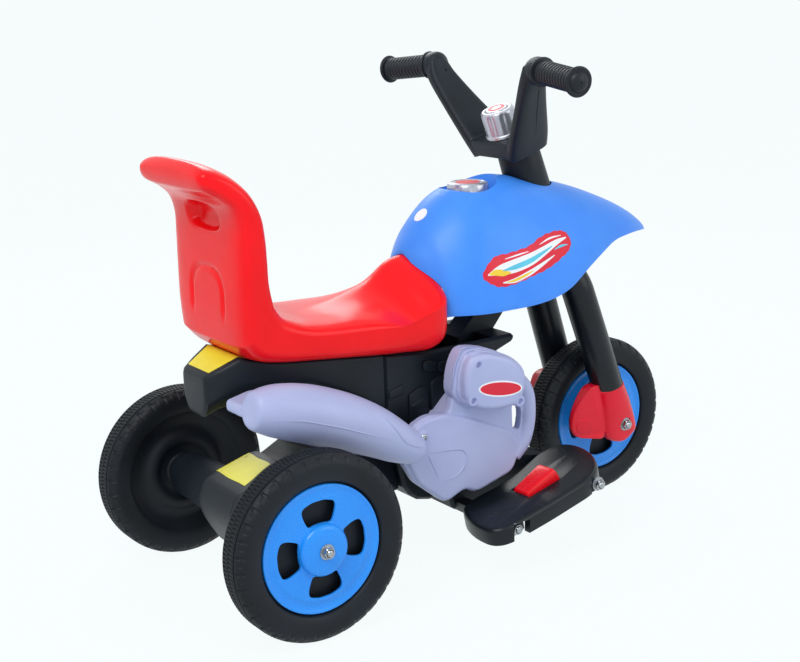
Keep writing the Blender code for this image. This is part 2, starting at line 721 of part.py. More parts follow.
def seat_rows():
    """The stations, with the nose moved to SEAT_NOSE and the underside on its line."""
    nose_shift = SEAT_NOSE - SEAT_STATIONS[0][0]
    line_shift = SEAT_LINE - 0.1940
    rows = []
    for front_x, front_z, rear_x, rear_z, *rest in SEAT_STATIONS:
        shift = nose_shift if front_x > 0.15 else 0
        flat = 0.02 <= rear_x <= 0.235
        low = under_seat(rear_x + shift) if flat else rear_z + line_shift
        rows.append((front_x + shift, front_z + line_shift, rear_x + shift, low, *rest))
    return rows


def seat_ring(row, sides=28, grow=0.0):
    """A section of the seat; its upper side falls away from the middle, as on the nose."""
    front_x, front_z, rear_x, rear_z, share, roundness, fall = row
    upper = Vector((behind(front_x), 0, high(front_z)))
    lower = Vector((behind(rear_x), 0, high(rear_z)))
    middle = (upper + lower) / 2
    reach = (upper - lower) / 2
    reach += reach.normalized() * grow
    half = SEAT_HALF_WIDTH * share + grow
    ring = []
    for u, v in oval(half, 1, sides, roundness, 7.0):
        drop = fall * (hypot(u, RIDGE_ROUND) - RIDGE_ROUND) * max(v, 0)
        ring.append(middle + Vector((0, u, -drop)) + reach * v)
    return ring


def seat(frame):
    shape = loft([seat_ring(row) for row in seat_rows()])
    hollow = [(0, 0.004), (0.006, 0.60), (0.016, 0.92), (0.024, 0.92), (0.034, 0.60), (0.040, 0.004)]
    pocket = turned(hollow, (0, 0, 0), (0, 0, 1), 20, False)
    place = Matrix.Translation((behind(-0.0440), 0, high(0.3500)))
    bmesh.ops.transform(pocket, matrix=place @ Matrix.Diagonal((0.022, 0.047, 1, 1)), verts=pocket.verts)
    piece("seat", cut(shape, pocket), red_seat(), frame, 50)


# Tank shell: one blue moulding from tank to beak, open below

TANK_STATIONS = (
    # measured from the rear axle: x, top, lower edge, share of the half width, roundness
    (0.2540, 0.2905, 0.2500, 0.30, 2.0),
    (0.2590, 0.2990, 0.2300, 0.45, 2.0),
    (0.2680, 0.3110, TANK_LINE, 0.620, 2.0),
    (0.2850, 0.3310, TANK_LINE, 0.790, 2.0),
    (0.3200, 0.3600, TANK_LINE, 0.965, 2.0),
    (0.3600, 0.3725, TANK_LINE, 1.000, 2.05),
    (0.4000, 0.3750, TANK_LINE, 0.990, 2.1),
)
BEAK_STATIONS = (
    # measured from the front axle
    (-0.1480, 0.3690, 0.2130, 0.950, 2.1),
    (-0.1140, 0.3625, 0.2220, 0.900, 2.1),
    (-0.0780, 0.3540, 0.2420, 0.830, 2.1),
    (-0.0460, 0.3440, 0.2570, 0.745, 2.1),
    (-0.0120, 0.3310, 0.2690, 0.630, 2.1),
    (0.0250, 0.3150, 0.2720, 0.505, 2.0),
    (0.0550, 0.2990, 0.2710, 0.370, 2.0),
    (0.0800, 0.2820, 0.2680, 0.210, 2.0),
    (0.0960, 0.2690, 0.2640, 0.060, 2.0),
)


def arch(x, top, low, half, roundness, inset=0.0, sink=0.0, sides=18):
    """An arch across the vehicle, from the left lower edge over the top to the right."""
    points = []
    for i in range(sides + 1):
        turn = pi * i / sides
        y = (half - inset) * power(cos(turn), 2 / roundness)
        z = low + (top - inset - low) * abs(sin(turn)) ** (2 / roundness)
        if i in (0, sides):
            z -= sink
        points.append(Vector((x, y, high(z))))
    return points


def tank_rows():
    rows = [(behind(x), top, low, share * TANK_HALF_WIDTH, n) for x, top, low, share, n in TANK_STATIONS]
    rows += [(ahead(x), top, low + TANK_LINE - TANK_STATIONS[2][2], share * TANK_HALF_WIDTH, n)
             for x, top, low, share, n in BEAK_STATIONS]
    return rows


def tank_shell(frame):
    rows = tank_rows()
    outer = loft([arch(*row) for row in rows])
    inner = loft([arch(*row, inset=SHELL_WALL, sink=0.020) for row in rows[1:-2]])
    well_wall = 0.003
    centre = (behind(CAP_AT), 0, high(CAP_WELL_FLOOR))
    cup = turned([(-well_wall, CAP_WELL_RADIUS + well_wall), (0.0400, CAP_WELL_RADIUS + well_wall)],
                 centre, (0, 0, 1), 28, False)
    well = turned([(0, CAP_WELL_RADIUS), (0.0600, CAP_WELL_RADIUS)], centre, (0, 0, 1), 28, False)
    stem = outset(CAP_STEM_RADIUS + REST_GAP, 12)
    stem_hole = turned([(-0.020, stem), (0.020, stem)], centre, (0, 0, 1), 12, False)
    neck_room = outset(NECK_FOOT_RADIUS + RUNNING_GAP, 28)
    neck_hole = rod(steer(0.3500, 0, 0), steer(0.4700, 0, 0), neck_room, 28)
    nose = seat_rows()[:8]
    face = (nose[0][0] + 2 * REST_GAP, nose[0][1], nose[0][2] + 2 * REST_GAP, *nose[0][3:])
    nose_room = loft([seat_ring(row, grow=2 * REST_GAP) for row in (face, *nose)])
    shape = cut(outer, cut(inner, cup), well, stem_hole, neck_hole, nose_room)
    piece("tank_shell", shape, blue_shell(), frame, 40)


def lobed(count, depth):
    """Shallow grip flutes round a knob."""
    def reach(turn, along, radius):
        return 1 - depth * (0.5 - 0.5 * cos(count * turn)) ** 3
    return reach


def tank_cap(carrier):
    base = (behind(CAP_AT), 0, high(CAP_WELL_FLOOR) + REST_GAP)
    profile = [
        (-0.0120, CAP_STEM_RADIUS), (0.0, CAP_STEM_RADIUS), (0.0, CAP_RADIUS), (0.0040, CAP_RADIUS),
        (0.0060, CAP_RADIUS - 0.0015), (CAP_HEIGHT - 0.0030, CAP_RADIUS - 0.0025),
        (CAP_HEIGHT, CAP_RADIUS - 0.0060),
    ]
    flutes = lobed(8, 0.05)

    def reach(turn, along, radius):
        return flutes(turn, along, radius) if 0.005 < along < CAP_HEIGHT - 0.001 else 1

    piece("tank_cap", turned(profile, base, (0, 0, 1), 32, False, lobes=reach), silver(), carrier)


# Engine covers, mufflers and their mirror images

COVER_OUTLINE = (
    # neck and lower case in one, measured from the rear axle
    (0.1900, 0.0860), (0.2120, 0.0955), (0.2350, 0.0950), (0.2500, 0.0925), (0.2630, 0.1430),
    (0.2800, 0.1700), (0.3120, 0.1670), (0.3700, 0.1320), (0.3780, 0.1080), (0.3700, 0.0720),
    (0.3660, 0.0300), (0.3590, 0.0050), (0.3490, -0.0080), (0.2876, -0.0240), (0.2710, -0.0140),
    (0.2390, -0.0265), (0.2150, -0.0070), (0.1920, 0.0120), (0.1730, 0.0450),
)
CASE_OUTLINE = (
    (0.1950, 0.0850), (0.2120, 0.0935), (0.2540, 0.0905), (0.3040, 0.0690), (0.3530, 0.0490),
    (0.3680, 0.0290), (0.3580, 0.0100), (0.3490, -0.0070), (0.2880, -0.0230), (0.2710, -0.0130),
    (0.2395, -0.0255), (0.2150, -0.0060), (0.1950, 0.0120),
)
HEAD_OUTLINE = (
    (0.2490, 0.1250), (0.2640, 0.1710), (0.2900, 0.1760), (0.3550, 0.1400), (0.3610, 0.1190),
    (0.3480, 0.0880), (0.2670, 0.0980),
)
COVER_STAND = (
    (0.2350, 0.0100), (0.2400, 0.0800), (0.3000, 0.1350), (0.3450, 0.1250), (0.3400, 0.0100),
)


def engine_cover(side):
    """A crankcase face with its neck and cylinder head, on a stand that meets the block."""
    stand = prism(COVER_STAND, -COVER_Y - 0.002, -CHASSIS_HALF_WIDTH - REST_GAP, side_view)
    plate = prism(COVER_OUTLINE, -COVER_Y - COVER_PLATE, -COVER_Y, side_view)
    root = -COVER_Y - 0.003
    case = bevelled(prism(CASE_OUTLINE, -COVER_Y - COVER_PLATE - COVER_BULGE, root, side_view), 0.004, 2)
    head = bevelled(prism(HEAD_OUTLINE, -HEAD_BLOCK_Y, root, side_view), 0.008, 2)
    window = prism([(0.3505, 0.0560), (0.3505, 0.0800), (0.3640, 0.0790), (0.3640, 0.0500)],
                   -0.20, -0.01, side_view)
    route = [(0.3560, 0.1150, 0.0980), (0.3740, 0.1030, 0.0980), (0.3810, 0.0800, 0.0980),
             (0.3800, 0.0500, 0.0980), (0.3720, 0.0270, 0.0980), (0.3570, 0.0120, 0.0960)]
    pipe = swept([side_view(x, z, -y) for x, z, y in route], PIPE_RADIUS, 12)
    shape = fuse(cut(plate, window), stand, case, head, pipe)
    if side > 0:
        mirrored(shape)
    return shape


def swept(points, radius, sides):
    """A round tube along points; radius may be one value or one for each point."""
    rings = []
    for i, point in enumerate(points):
        before, after = points[max(i - 1, 0)], points[min(i + 1, len(points) - 1)]
        along = (after - before).normalized()
        across = along.cross(Vector((0, 1, 0))).normalized()
        lift = across.cross(along)
        reach = radius if isinstance(radius, float) else radius[i]
        rings.append([point + (across * cos(2 * pi * k / sides) + lift * sin(2 * pi * k / sides)) * reach
                      for k in range(sides)])
    return loft(rings)


def muffler(frame):
    """A drooping silencer on the right only: a small flat end behind, the front laid on the cover."""
    body = MUFFLER_RADIUS
    stations = (
        (-0.0445, 0.1590, 0.0200), (-0.0370, 0.1575, 0.0245), (-0.0150, 0.1530, 0.86 * body),
        (0.0150, 0.1450, 0.96 * body), (0.0450, 0.1345, body), (0.0850, 0.1180, 0.98 * body),
        (0.1230, 0.0990, 0.89 * body), (0.1540, 0.0800, 0.76 * body), (0.1760, 0.0670, 0.62 * body),
        (0.1880, 0.0600, 0.50 * body), (0.1950, 0.0560, 0.28 * body),
    )
    points = [side_view(x, z, -MUFFLER_Y) for x, z, _ in stations]
    shape = swept(points, [radius for _, _, radius in stations], 20)
    ear = [(-0.0470, 0.1600), (-0.0470, 0.1465), (-0.0300, 0.1420), (0.0300, 0.1450), (0.0750, 0.1400),
           (0.0750, 0.1520), (0.0400, 0.1600), (0.0000, 0.1665), (-0.0160, 0.1665)]
    flange = prism(ear, -MUFFLER_Y + 0.020, -CHASSIS_HALF_WIDTH - REST_GAP, side_view)
    seat_y = -COVER_Y - COVER_PLATE - COVER_BULGE - REST_GAP
    lap = block((behind(0.1600), seat_y, high(0.0)), (behind(0.2200), 0, high(0.2)))
    piece("right_muffler", cut(fuse(shape, flange), lap), grey_cover(), frame, 30)


def flank(frame):
    for side, word in ((-1, "right"), (1, "left")):
        piece(word + "_engine_cover", engine_cover(side), grey_cover(), frame, 30)
    muffler(frame)


# Footrests, cross rods and the drive pedal

FOOTREST_OUTLINE = (
    # along the footrest from the rear rod, and outwards from the rod's end
    (-0.0360, -0.0150), (-0.0280, -0.0020), (-0.0150, 0.0045), (0.0500, 0.0070), (0.1250, 0.0060),
    (0.1500, -0.0030), (0.1680, -0.0180), (0.1850, -0.0430), (0.1930, -0.0700), (0.1910, -0.0930),
    (0.1780, -0.1090), (0.1500, -0.1120), (0.1200, -0.1050), (0.0850, -0.0955), (0.0500, -0.0930),
    (0.0100, -0.0960), (-0.0130, -0.0920), (-0.0260, -0.0720), (-0.0340, -0.0450),
)


def footrest_frame():
    """Origin and axes of the right footrest: along it, outwards, and up out of its top."""
    origin = side_view(*REAR_ROD, -FOOT_ROD_END_Y)
    climb = atan2(FRONT_ROD[1] - REAR_ROD[1], FRONT_ROD[0] - REAR_ROD[0])
    along = Vector((cos(FOOTREST_TOE_IN) * cos(climb), sin(FOOTREST_TOE_IN) * cos(climb), sin(climb)))
    out = Vector((sin(FOOTREST_TOE_IN), -cos(FOOTREST_TOE_IN), 0))
    return origin, along, out, out.cross(along)


def on_footrest(u, v, lift):
    origin, along, out, up = footrest_frame()
    return origin + along * u + out * v + up * lift


PEDAL_AT = (0.0480, -0.0460)


def footrest(side):
    bottom = FOOTREST_TOP - FOOTREST_DEPTH
    shape = bevelled(prism(FOOTREST_OUTLINE, bottom, FOOTREST_TOP, on_footrest), 0.005, 1, 60)
    hollow = prism(shrunk(FOOTREST_OUTLINE, FOOTREST_WALL), bottom - 0.01,
                   FOOTREST_TOP - FOOTREST_SKIN, on_footrest)
    tools = [hollow]
    for place in (REAR_ROD, FRONT_ROD):
        hole = outset(FOOT_ROD_RADIUS + REST_GAP, 12)
        tools.append(rod(side_view(*place, -0.25), side_view(*place, -0.02), hole))
        nook = 0.0130
        end = side_view(*place, -FOOT_ROD_END_Y)
        seat_y = -FOOT_ROD_END_Y + NUT_STACK
        tools.append(block((end.x - nook, seat_y - 0.05, end.z - 0.05),
                           (end.x + nook, seat_y, end.z + nook)))
    arms = []
    for place in (REAR_ROD, FRONT_ROD):
        middle = side_view(*place, 0)
        arms.append(block((middle.x - 0.010, -0.1080, middle.z - 0.0065),
                          (middle.x + 0.010, -CHASSIS_HALF_WIDTH - REST_GAP, middle.z + 0.0065)))
    if side < 0:
        gap = RUNNING_GAP
        start, across = PEDAL_AT
        half = PEDAL_WIDTH / 2 + gap
        tools.append(block_on_footrest(start - gap, start + PEDAL_LENGTH + gap, across - half,
                                       across + half, FOOTREST_TOP - 0.02, FOOTREST_TOP + 0.02))
    shape = cut(fuse(shape, *arms), *tools)
    if side < 0:
        near, lift = pedal_pin_place()
        inner = PEDAL_WIDTH / 2 + gap
        lugs = [block_on_footrest(near - PIN_LUG / 2, near + PIN_LUG / 2,
                                  across + low, across + low + PIN_LUG,
                                  lift - PIN_LUG / 2, FOOTREST_TOP - 0.001)
                for low in (-inner - PIN_LUG, inner)]
        shape = cut(fuse(shape, *lugs), pin_rod(PIN_LUG + 0.001, PIN_RADIUS + REST_GAP))
    if side > 0:
        mirrored(shape)
    return shape


def block_on_footrest(u_low, u_high, v_low, v_high, low, top):
    corners = [(u_low, v_low), (u_high, v_low), (u_high, v_high), (u_low, v_high)]
    return prism(corners, low, top, on_footrest)


def foot_rods(frame):
    for word, place in (("rear", REAR_ROD), ("front", FRONT_ROD)):
        reach = FOOT_ROD_END_Y + REST_GAP
        bar = rod(side_view(*place, -reach), side_view(*place, reach), FOOT_ROD_RADIUS)
        piece(word + "_foot_rod", bar, zinc(), frame)
        for side, hand in ((-1, "right"), (1, "left")):
            base = side_view(*place, side * (FOOT_ROD_END_Y - NUT_STACK + REST_GAP))
            fastener(f"{word}_rod_{hand}_nut", base, (0, side, 0), frame, FOOT_ROD_RADIUS)


def pedal(frame, carrier):
    start, across = PEDAL_AT
    half = PEDAL_WIDTH / 2
    under = FOOTREST_TOP - 0.0090
    rows = [(start, under), (start, FOOTREST_TOP + 0.0010),
            (start + PEDAL_LENGTH - 0.006, FOOTREST_TOP + PEDAL_RISE),
            (start + PEDAL_LENGTH - 0.0016, FOOTREST_TOP + PEDAL_RISE - 0.004),
            (start + PEDAL_LENGTH, under + 0.003)]

    def place(u, v, depth):
        return on_footrest(u, depth, v)

    shape = bevelled(prism(rows, across - half, across + half, place), 0.0025, 2)
    piece("drive_pedal", cut(shape, pin_rod(PIN_LUG, PIN_RADIUS + REST_GAP)), red_plastic(), carrier)
    piece("pedal_pin", pin_rod(PIN_LUG - 0.001, PIN_RADIUS * cos(pi / 10)), zinc(), frame)


def pedal_pin_place():
    return PEDAL_AT[0] + 0.0060, FOOTREST_TOP - 0.0045


def pin_rod(past, radius):
    """A rod on the pedal's pivot that reaches this far past the pocket on both sides."""
    near, lift = pedal_pin_place()
    reach = PEDAL_WIDTH / 2 + RUNNING_GAP + past
    return rod(on_footrest(near, PEDAL_AT[1] - reach, lift), on_footrest(near, PEDAL_AT[1] + reach, lift),
               outset(radius, 10), 10)


# Fork, front axle, steering rod and handlebar

def on_leg(up, side):
    """The point on a fork leg's centre line this far up from its foot; the legs close in upwards."""
    lean = (FORK_FOOT_SPREAD - FORK_LEG_SPREAD) / (FORK_SHOULDER - FORK_LEG_FOOT)
    return steer(FORK_LEG_FOOT + up, side * (FORK_FOOT_SPREAD - lean * up), 0)


def fork(carrier):
    """Two legs and the crown in one bent tube, with a hole for the steering rod."""
    radius = FORK_LEG_RADIUS
    arc = [(CROWN_CENTRE - FORK_LEG_SPREAD + FORK_LEG_SPREAD * sin(turn), -FORK_LEG_SPREAD * cos(turn))
           for turn in (radians(a) for a in range(0, 181, 20))]
    route = [(FORK_LEG_FOOT, -FORK_FOOT_SPREAD)] + arc + [(FORK_LEG_FOOT, FORK_FOOT_SPREAD)]
    rings = []
    for i, (s, y) in enumerate(route):
        before, after = route[max(i - 1, 0)], route[min(i + 1, len(route) - 1)]
        length = hypot(after[0] - before[0], after[1] - before[1])
        up, over = (after[0] - before[0]) / length, (after[1] - before[1]) / length
        rings.append([steer(s + over * radius * cos(turn), y - up * radius * cos(turn), radius * sin(turn))
                      for turn in (2 * pi * k / 18 for k in range(18))])
    hole = rod(steer(CROWN_CENTRE - 0.05, 0, 0), steer(CROWN_CENTRE + 0.05, 0, 0),
               outset(STEERING_ROD_RADIUS + REST_GAP, 16), 16)
    shape = cut(loft(rings), hole)
    for side in (-1, 1):
        shape = cut(shape, rod(on_leg(-0.010, side), on_leg(0.025, side), radius - FORK_WALL, 18))
    piece("fork", shape, black_plastic(), carrier)


SHOE_FRONT = ((-0.0420, 0.0560), (0.0040, 0.0560), (0.0300, -0.0150), (-0.0010, -0.0270),
              (-0.0340, -0.0180))
SHOE_FLAP = ((-0.0360, 0.0620), (-0.0560, 0.0640), (-0.0700, 0.0500), (-0.0820, 0.0310), (-0.0860, 0.0100),
             (-0.0770, -0.0080), (-0.0330, -0.0180))


def wheel_view(u, v, depth):
    return Vector((ahead(u), depth, high(v)))


def fork_shoe(side, carrier):
    """The red foot of a fork leg: a plug in the leg, a cheek on the axle and a rear flap."""
    plug_radius = FORK_LEG_RADIUS - FORK_WALL - 2 * REST_GAP
    plug = rod(on_leg(-0.020, -1), on_leg(0.020, -1), plug_radius, 18)
    cheek = bevelled(prism(SHOE_FRONT, -SHOE_OUTER_Y, -SHOE_INNER_Y, wheel_view), 0.003, 1)
    flap = bevelled(prism(SHOE_FLAP, -SHOE_OUTER_Y + 0.008, -SHOE_INNER_Y, wheel_view), 0.002, 1)
    boss = rod(wheel_view(-0.0660, 0.0070, -SHOE_OUTER_Y + 0.006),
               wheel_view(-0.0660, 0.0070, -SHOE_OUTER_Y + 0.010), 0.0115, 16)
    shape = fuse(cheek, flap, plug, boss)
    hole = rod(wheel_view(0, 0, -0.1), wheel_view(0, 0, -0.02), outset(AXLE_RADIUS + REST_GAP, 12))
    foot = rod(on_leg(-0.001, -1), on_leg(0.050, -1), FORK_LEG_RADIUS + 2 * REST_GAP, 18)
    keep = rod(on_leg(-0.002, -1), on_leg(0.060, -1), plug_radius, 18)
    shape = cut(shape, cut(foot, keep), hole)
    if side > 0:
        mirrored(shape)
    piece(("left" if side > 0 else "right") + "_fork_shoe", shape, red_plastic(), carrier)


def front_axle(carrier):
    reach = nut_run(SHOE_OUTER_Y + REST_GAP)
    bar = rod(wheel_view(0, 0, -reach), wheel_view(0, 0, reach), AXLE_RADIUS)
    piece("front_axle", bar, zinc(), carrier)
    for side, hand in ((-1, "right"), (1, "left")):
        face = wheel_view(0, 0, side * (SHOE_OUTER_Y + REST_GAP))
        fastener(f"front_{hand}_axle_nut", face, (0, side, 0), carrier)
        bore = outset(AXLE_RADIUS + REST_GAP, 14)
        inner, outer = NUT_FACE, SHOE_INNER_Y - REST_GAP
        sleeve = turned([(inner, bore), (inner, 0.0085), (outer, 0.0085), (outer, bore)],
                        wheel_view(0, 0, 0), (0, side, 0), 14)
        piece(f"front_{hand}_wheel_spacer", sleeve, nylon(), carrier)


def steering_parts(frame, carrier):
    nut_top = CROWN_CENTRE - FORK_LEG_RADIUS - 0.0056
    fastener_top = nut_top - REST_GAP
    bottom = fastener_top - WASHER_THICKNESS - NUT_THICKNESS - THREAD_PAST_NUT
    bar = rod(steer(bottom, 0, 0), steer(BRIDGE_TOP - 0.010, 0, 0), STEERING_ROD_RADIUS, 16)
    piece("steering_rod", bar, zinc(), carrier)
    bore = outset(STEERING_ROD_RADIUS + REST_GAP, 16)
    down = steer(0, 0, 0) - steer(1, 0, 0)
    ring = [(0, bore), (0, 0.0150), (0.0070, 0.0150), (0.0070, bore)]
    piece("steering_nut", turned(ring, steer(fastener_top, 0, 0), down, 16), zinc(), carrier)
    sleeve = STEERING_ROD_RADIUS + BUSH_WALL
    flange = HEAD_TUBE_RADIUS
    run = outset(STEERING_ROD_RADIUS + REST_GAP, 20)
    for name, base, axis in (("lower_steering_bush", HEAD_BOTTOM - REST_GAP - BUSH_FLANGE, -down),
                             ("upper_steering_bush", HEAD_TOP + REST_GAP + BUSH_FLANGE, down)):
        profile = [(0, run), (0, flange), (BUSH_FLANGE, flange), (BUSH_FLANGE, sleeve),
                   (0.016, sleeve), (0.016, run)]
        piece(name, turned(profile, steer(base, 0, 0), axis, 20), nylon(), frame)
    low, top = NECK_FOOT, BRIDGE_BOTTOM - REST_GAP
    neck = turned([(0, bore), (0, NECK_FOOT_RADIUS), (top - low, NECK_TOP_RADIUS), (top - low, bore)],
                  steer(low, 0, 0), -down, 24)
    piece("steering_neck", neck, black_plastic(), carrier)


ARM_STATIONS = (
    # up the axis from the bridge's underside, inner and outer side, rear and front edge
    (0.0020, 0.0240, 0.0470, -0.0440, 0.0200),
    (0.0250, 0.0380, 0.0590, -0.0445, 0.0190),
    (0.0690, 0.0660, 0.0850, -0.0420, 0.0080),
    (0.1040, 0.0860, 0.1060, -0.0390, 0.0000),
    (0.1190, 0.0930, 0.1130, -0.0350, -0.0020),
    (0.1300, 0.0970, 0.1110, -0.0290, -0.0070),
)


def arm_ring(s, inner, outer, rear, front, lean):
    middle_y, middle_t = (inner + outer) / 2, (rear + front) / 2
    ring = oval((outer - inner) / 2, (front - rear) / 2, 12, 3.6)
    return [steer(BRIDGE_BOTTOM + s - lean * (middle_y + u - inner), -(middle_y + u), middle_t + v)
            for u, v in ring]


def handlebar(carrier):
    outline = [(-0.0440, -0.0440), (0.0440, -0.0440), (0.0480, 0.0140), (0.0300, 0.0290),
               (-0.0300, 0.0290), (-0.0480, 0.0140)]

    def place(u, v, depth):
        return steer(depth, u, v)

    bridge = bevelled(prism(outline, BRIDGE_BOTTOM, BRIDGE_TOP, place), 0.004, 1)
    arms = []
    for side in (-1, 1):
        arm = loft([arm_ring(*row, 0.25) for row in ARM_STATIONS])
        start, end = grip_axis(-1)
        along = (end - start).normalized()
        hub = rod(start - along * 0.018, start - along * REST_GAP, 0.0180, 18)
        stub = rod(start - along * 0.010, end - along * 0.006, 0.0100, 12)
        arm = fuse(arm, hub, stub)
        arms.append(mirrored(arm) if side > 0 else arm)
    shape = fuse(bridge, *arms)
    bore = rod(steer(BRIDGE_BOTTOM - 0.02, 0, 0), steer(BRIDGE_TOP - 0.0095, 0, 0),
               outset(STEERING_ROD_RADIUS + REST_GAP, 16), 16)
    piece("handlebar", cut(shape, bore), black_plastic(), carrier, 30)


def grip_axis(side):
    """Inner and outer end of a grip's centre line."""
    start = steer(BRIDGE_BOTTOM + 0.1184, side * GRIP_INNER_Y, -0.0165)
    end = steer(BRIDGE_BOTTOM + 0.1150, side * (GRIP_INNER_Y + GRIP_LENGTH * cos(radians(10))), -0.0315)
    return start, start + (end - start).normalized() * GRIP_LENGTH


def grip(side, carrier):
    start, end = grip_axis(side)
    length = (end - start).length
    flange = 0.0050
    bore = outset(0.0100 + REST_GAP, 20)
    profile = [(0, bore), (0, GRIP_FLANGE_RADIUS), (flange, GRIP_FLANGE_RADIUS)]
    pitch = (length - 2 * flange - 0.004) / GRIP_RIBS
    for i in range(GRIP_RIBS):
        at = flange + 0.002 + i * pitch
        profile += [(at, GRIP_RADIUS - 0.0012), (at + pitch / 2, GRIP_RADIUS)]
    profile += [(length - flange, GRIP_RADIUS - 0.0012), (length - flange, GRIP_FLANGE_RADIUS),
                (length - 0.001, GRIP_FLANGE_RADIUS), (length, GRIP_FLANGE_RADIUS - 0.004),
                (length, 0.0125), (length + 0.0045, 0.0080), (length + 0.0060, 0.0030)]
    outer = turned(profile[1:], start, end - start, 18, False)
    hole = rod(start - (end - start) * 0.1, end - (end - start).normalized() * 0.0055, bore, 20)
    piece(("left" if side > 0 else "right") + "_grip", cut(outer, hole), grip_rubber(), carrier)


def knob(carrier, button_body):
    """The fluted silver housing on the bridge and the button pressed down into its top."""
    base = steer(BRIDGE_TOP + REST_GAP, 0, -0.0150)
    axis = steer(1, 0, 0) - steer(0, 0, 0)
    well = BUTTON_TRAVEL + 0.0050
    bore = outset(BUTTON_RADIUS + REST_GAP, 32)
    profile = [
        (0, KNOB_RADIUS), (0.0040, KNOB_RADIUS), (0.0065, KNOB_RADIUS - 0.0015),
        (KNOB_HEIGHT - 0.0040, KNOB_RADIUS - 0.0010), (KNOB_HEIGHT, KNOB_RADIUS - 0.0040),
    ]
    flutes = lobed(8, 0.06)

    def reach(turn, along, radius):
        return flutes(turn, along, radius) if 0.005 < along < KNOB_HEIGHT - 0.001 else 1

    shape = turned(profile, base, axis, 32, False, lobes=reach)
    hole = turned([(KNOB_HEIGHT - well, bore), (KNOB_HEIGHT + 0.01, bore)], base, axis, 32, False)
    piece("knob_housing", cut(shape, hole), silver(), carrier)
    button = [(KNOB_HEIGHT - 0.0045, BUTTON_RADIUS), (KNOB_HEIGHT, BUTTON_RADIUS),
              (KNOB_HEIGHT + 0.0012, BUTTON_RADIUS - 0.0020)]
    piece("sound_button", turned(button, base, axis, 32, False), silver(), button_body)


def build():
    for old in list(bpy.data.objects):
        bpy.data.objects.remove(old)
    frame = empty("frame", (0, 0, 0))
    steering = empty("steering", steer(0, 0, 0), frame)
    front_wheel = empty("front_wheel_spin", (FRONT_X, 0, WHEEL_RADIUS), steering)
    right_wheel = empty("rear_right_wheel_spin", (REAR_X, -HALF_TRACK, WHEEL_RADIUS), frame)
    left_wheel = empty("rear_left_wheel_spin", (REAR_X, HALF_TRACK, WHEEL_RADIUS), frame)
    cap_turn = empty("tank_cap_turn", (behind(CAP_AT), 0, high(CAP_WELL_FLOOR)), frame)
    pin = pedal_pin_place()
    pedal_turn = empty("pedal_turn", on_footrest(pin[0], PEDAL_AT[1], pin[1]), frame)
    button_press = empty("button_press", steer(BRIDGE_TOP, 0, -0.0150), steering)

    for name, place, outward, carrier in (
        ("rear_right", (REAR_X, -HALF_TRACK, WHEEL_RADIUS), -1, right_wheel),
        ("rear_left", (REAR_X, HALF_TRACK, WHEEL_RADIUS), 1, left_wheel),
    ):
        wheel(name + "_wheel", place, outward, False, carrier)
        hub_plate(name + "_hub_plate", place, outward, carrier)
    wheel("front_wheel", (FRONT_X, 0, WHEEL_RADIUS), -1, True, front_wheel)
    hub_plate("front_right_hub_plate", (FRONT_X, 0, WHEEL_RADIUS), -1, front_wheel)
    hub_plate("front_left_hub_plate", (FRONT_X, 0, WHEEL_RADIUS), 1, front_wheel)

    rear_axle(frame)
    inner_face = HALF_TRACK - TYRE_WIDTH / 2 - WHEEL_SIDE_GAP
    gearbox(frame, inner_face)
    gear_y = -inner_face + GEARBOX_WALL + 0.004
    away = GEAR_MODULE * (GEAR_TEETH + PINION_TEETH) / 2 * sqrt(0.5)
    motor_at = (REAR_X + away, WHEEL_RADIUS + away)
    pinion_spin = empty("pinion_spin", (motor_at[0], gear_y, motor_at[1]), frame)
    drive(frame, right_wheel, pinion_spin, gear_y, motor_at)

    tail_housing(frame)
    engine_block(frame)
    axle_bracket(frame)
    battery(frame)
    seat(frame)
    tank_shell(frame)
    tank_cap(cap_turn)
    flank(frame)
    for side, word in ((-1, "right"), (1, "left")):
        piece(word + "_footrest", footrest(side), black_plastic(), frame, 30)
    foot_rods(frame)
    pedal(frame, pedal_turn)

    fork(steering)
    for side in (-1, 1):
        fork_shoe(side, steering)
        grip(side, steering)
    front_axle(steering)
    steering_parts(frame, steering)
    handlebar(steering)
    knob(steering, button_press)


build()
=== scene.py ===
"""The looks of a battery ride-on motorcycle for small children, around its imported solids.

Metres, +X forward, +Y to the rider's left, +Z up, the floor at 0. Lengths of the bodywork are
measured from the rear axle and heights from the axles, as on the solids.
"""

from math import atan2, cos, hypot, pi, radians, sin

import bmesh
import bpy
from mathutils import Matrix, Vector
from mathutils.bvhtree import BVHTree


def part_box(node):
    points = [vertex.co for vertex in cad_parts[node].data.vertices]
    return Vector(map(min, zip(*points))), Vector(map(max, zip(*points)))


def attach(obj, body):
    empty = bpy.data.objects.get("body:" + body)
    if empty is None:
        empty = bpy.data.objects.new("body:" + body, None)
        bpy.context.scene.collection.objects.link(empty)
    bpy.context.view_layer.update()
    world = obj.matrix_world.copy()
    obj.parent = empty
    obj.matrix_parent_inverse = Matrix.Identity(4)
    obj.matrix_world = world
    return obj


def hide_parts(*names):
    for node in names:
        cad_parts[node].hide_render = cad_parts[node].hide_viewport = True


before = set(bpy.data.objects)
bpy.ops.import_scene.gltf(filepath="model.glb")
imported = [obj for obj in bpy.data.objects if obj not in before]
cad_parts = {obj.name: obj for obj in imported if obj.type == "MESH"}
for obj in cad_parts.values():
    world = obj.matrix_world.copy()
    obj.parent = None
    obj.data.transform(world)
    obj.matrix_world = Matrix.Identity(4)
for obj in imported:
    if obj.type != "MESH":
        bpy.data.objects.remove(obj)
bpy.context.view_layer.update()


# Axle bars and nuts
# Drawn steel bars, 8 mm thick, with a rolled thread at both ends, bright zinc plated. A hexagon nut with
# its washer, cold forged and plated alike, closes each end.

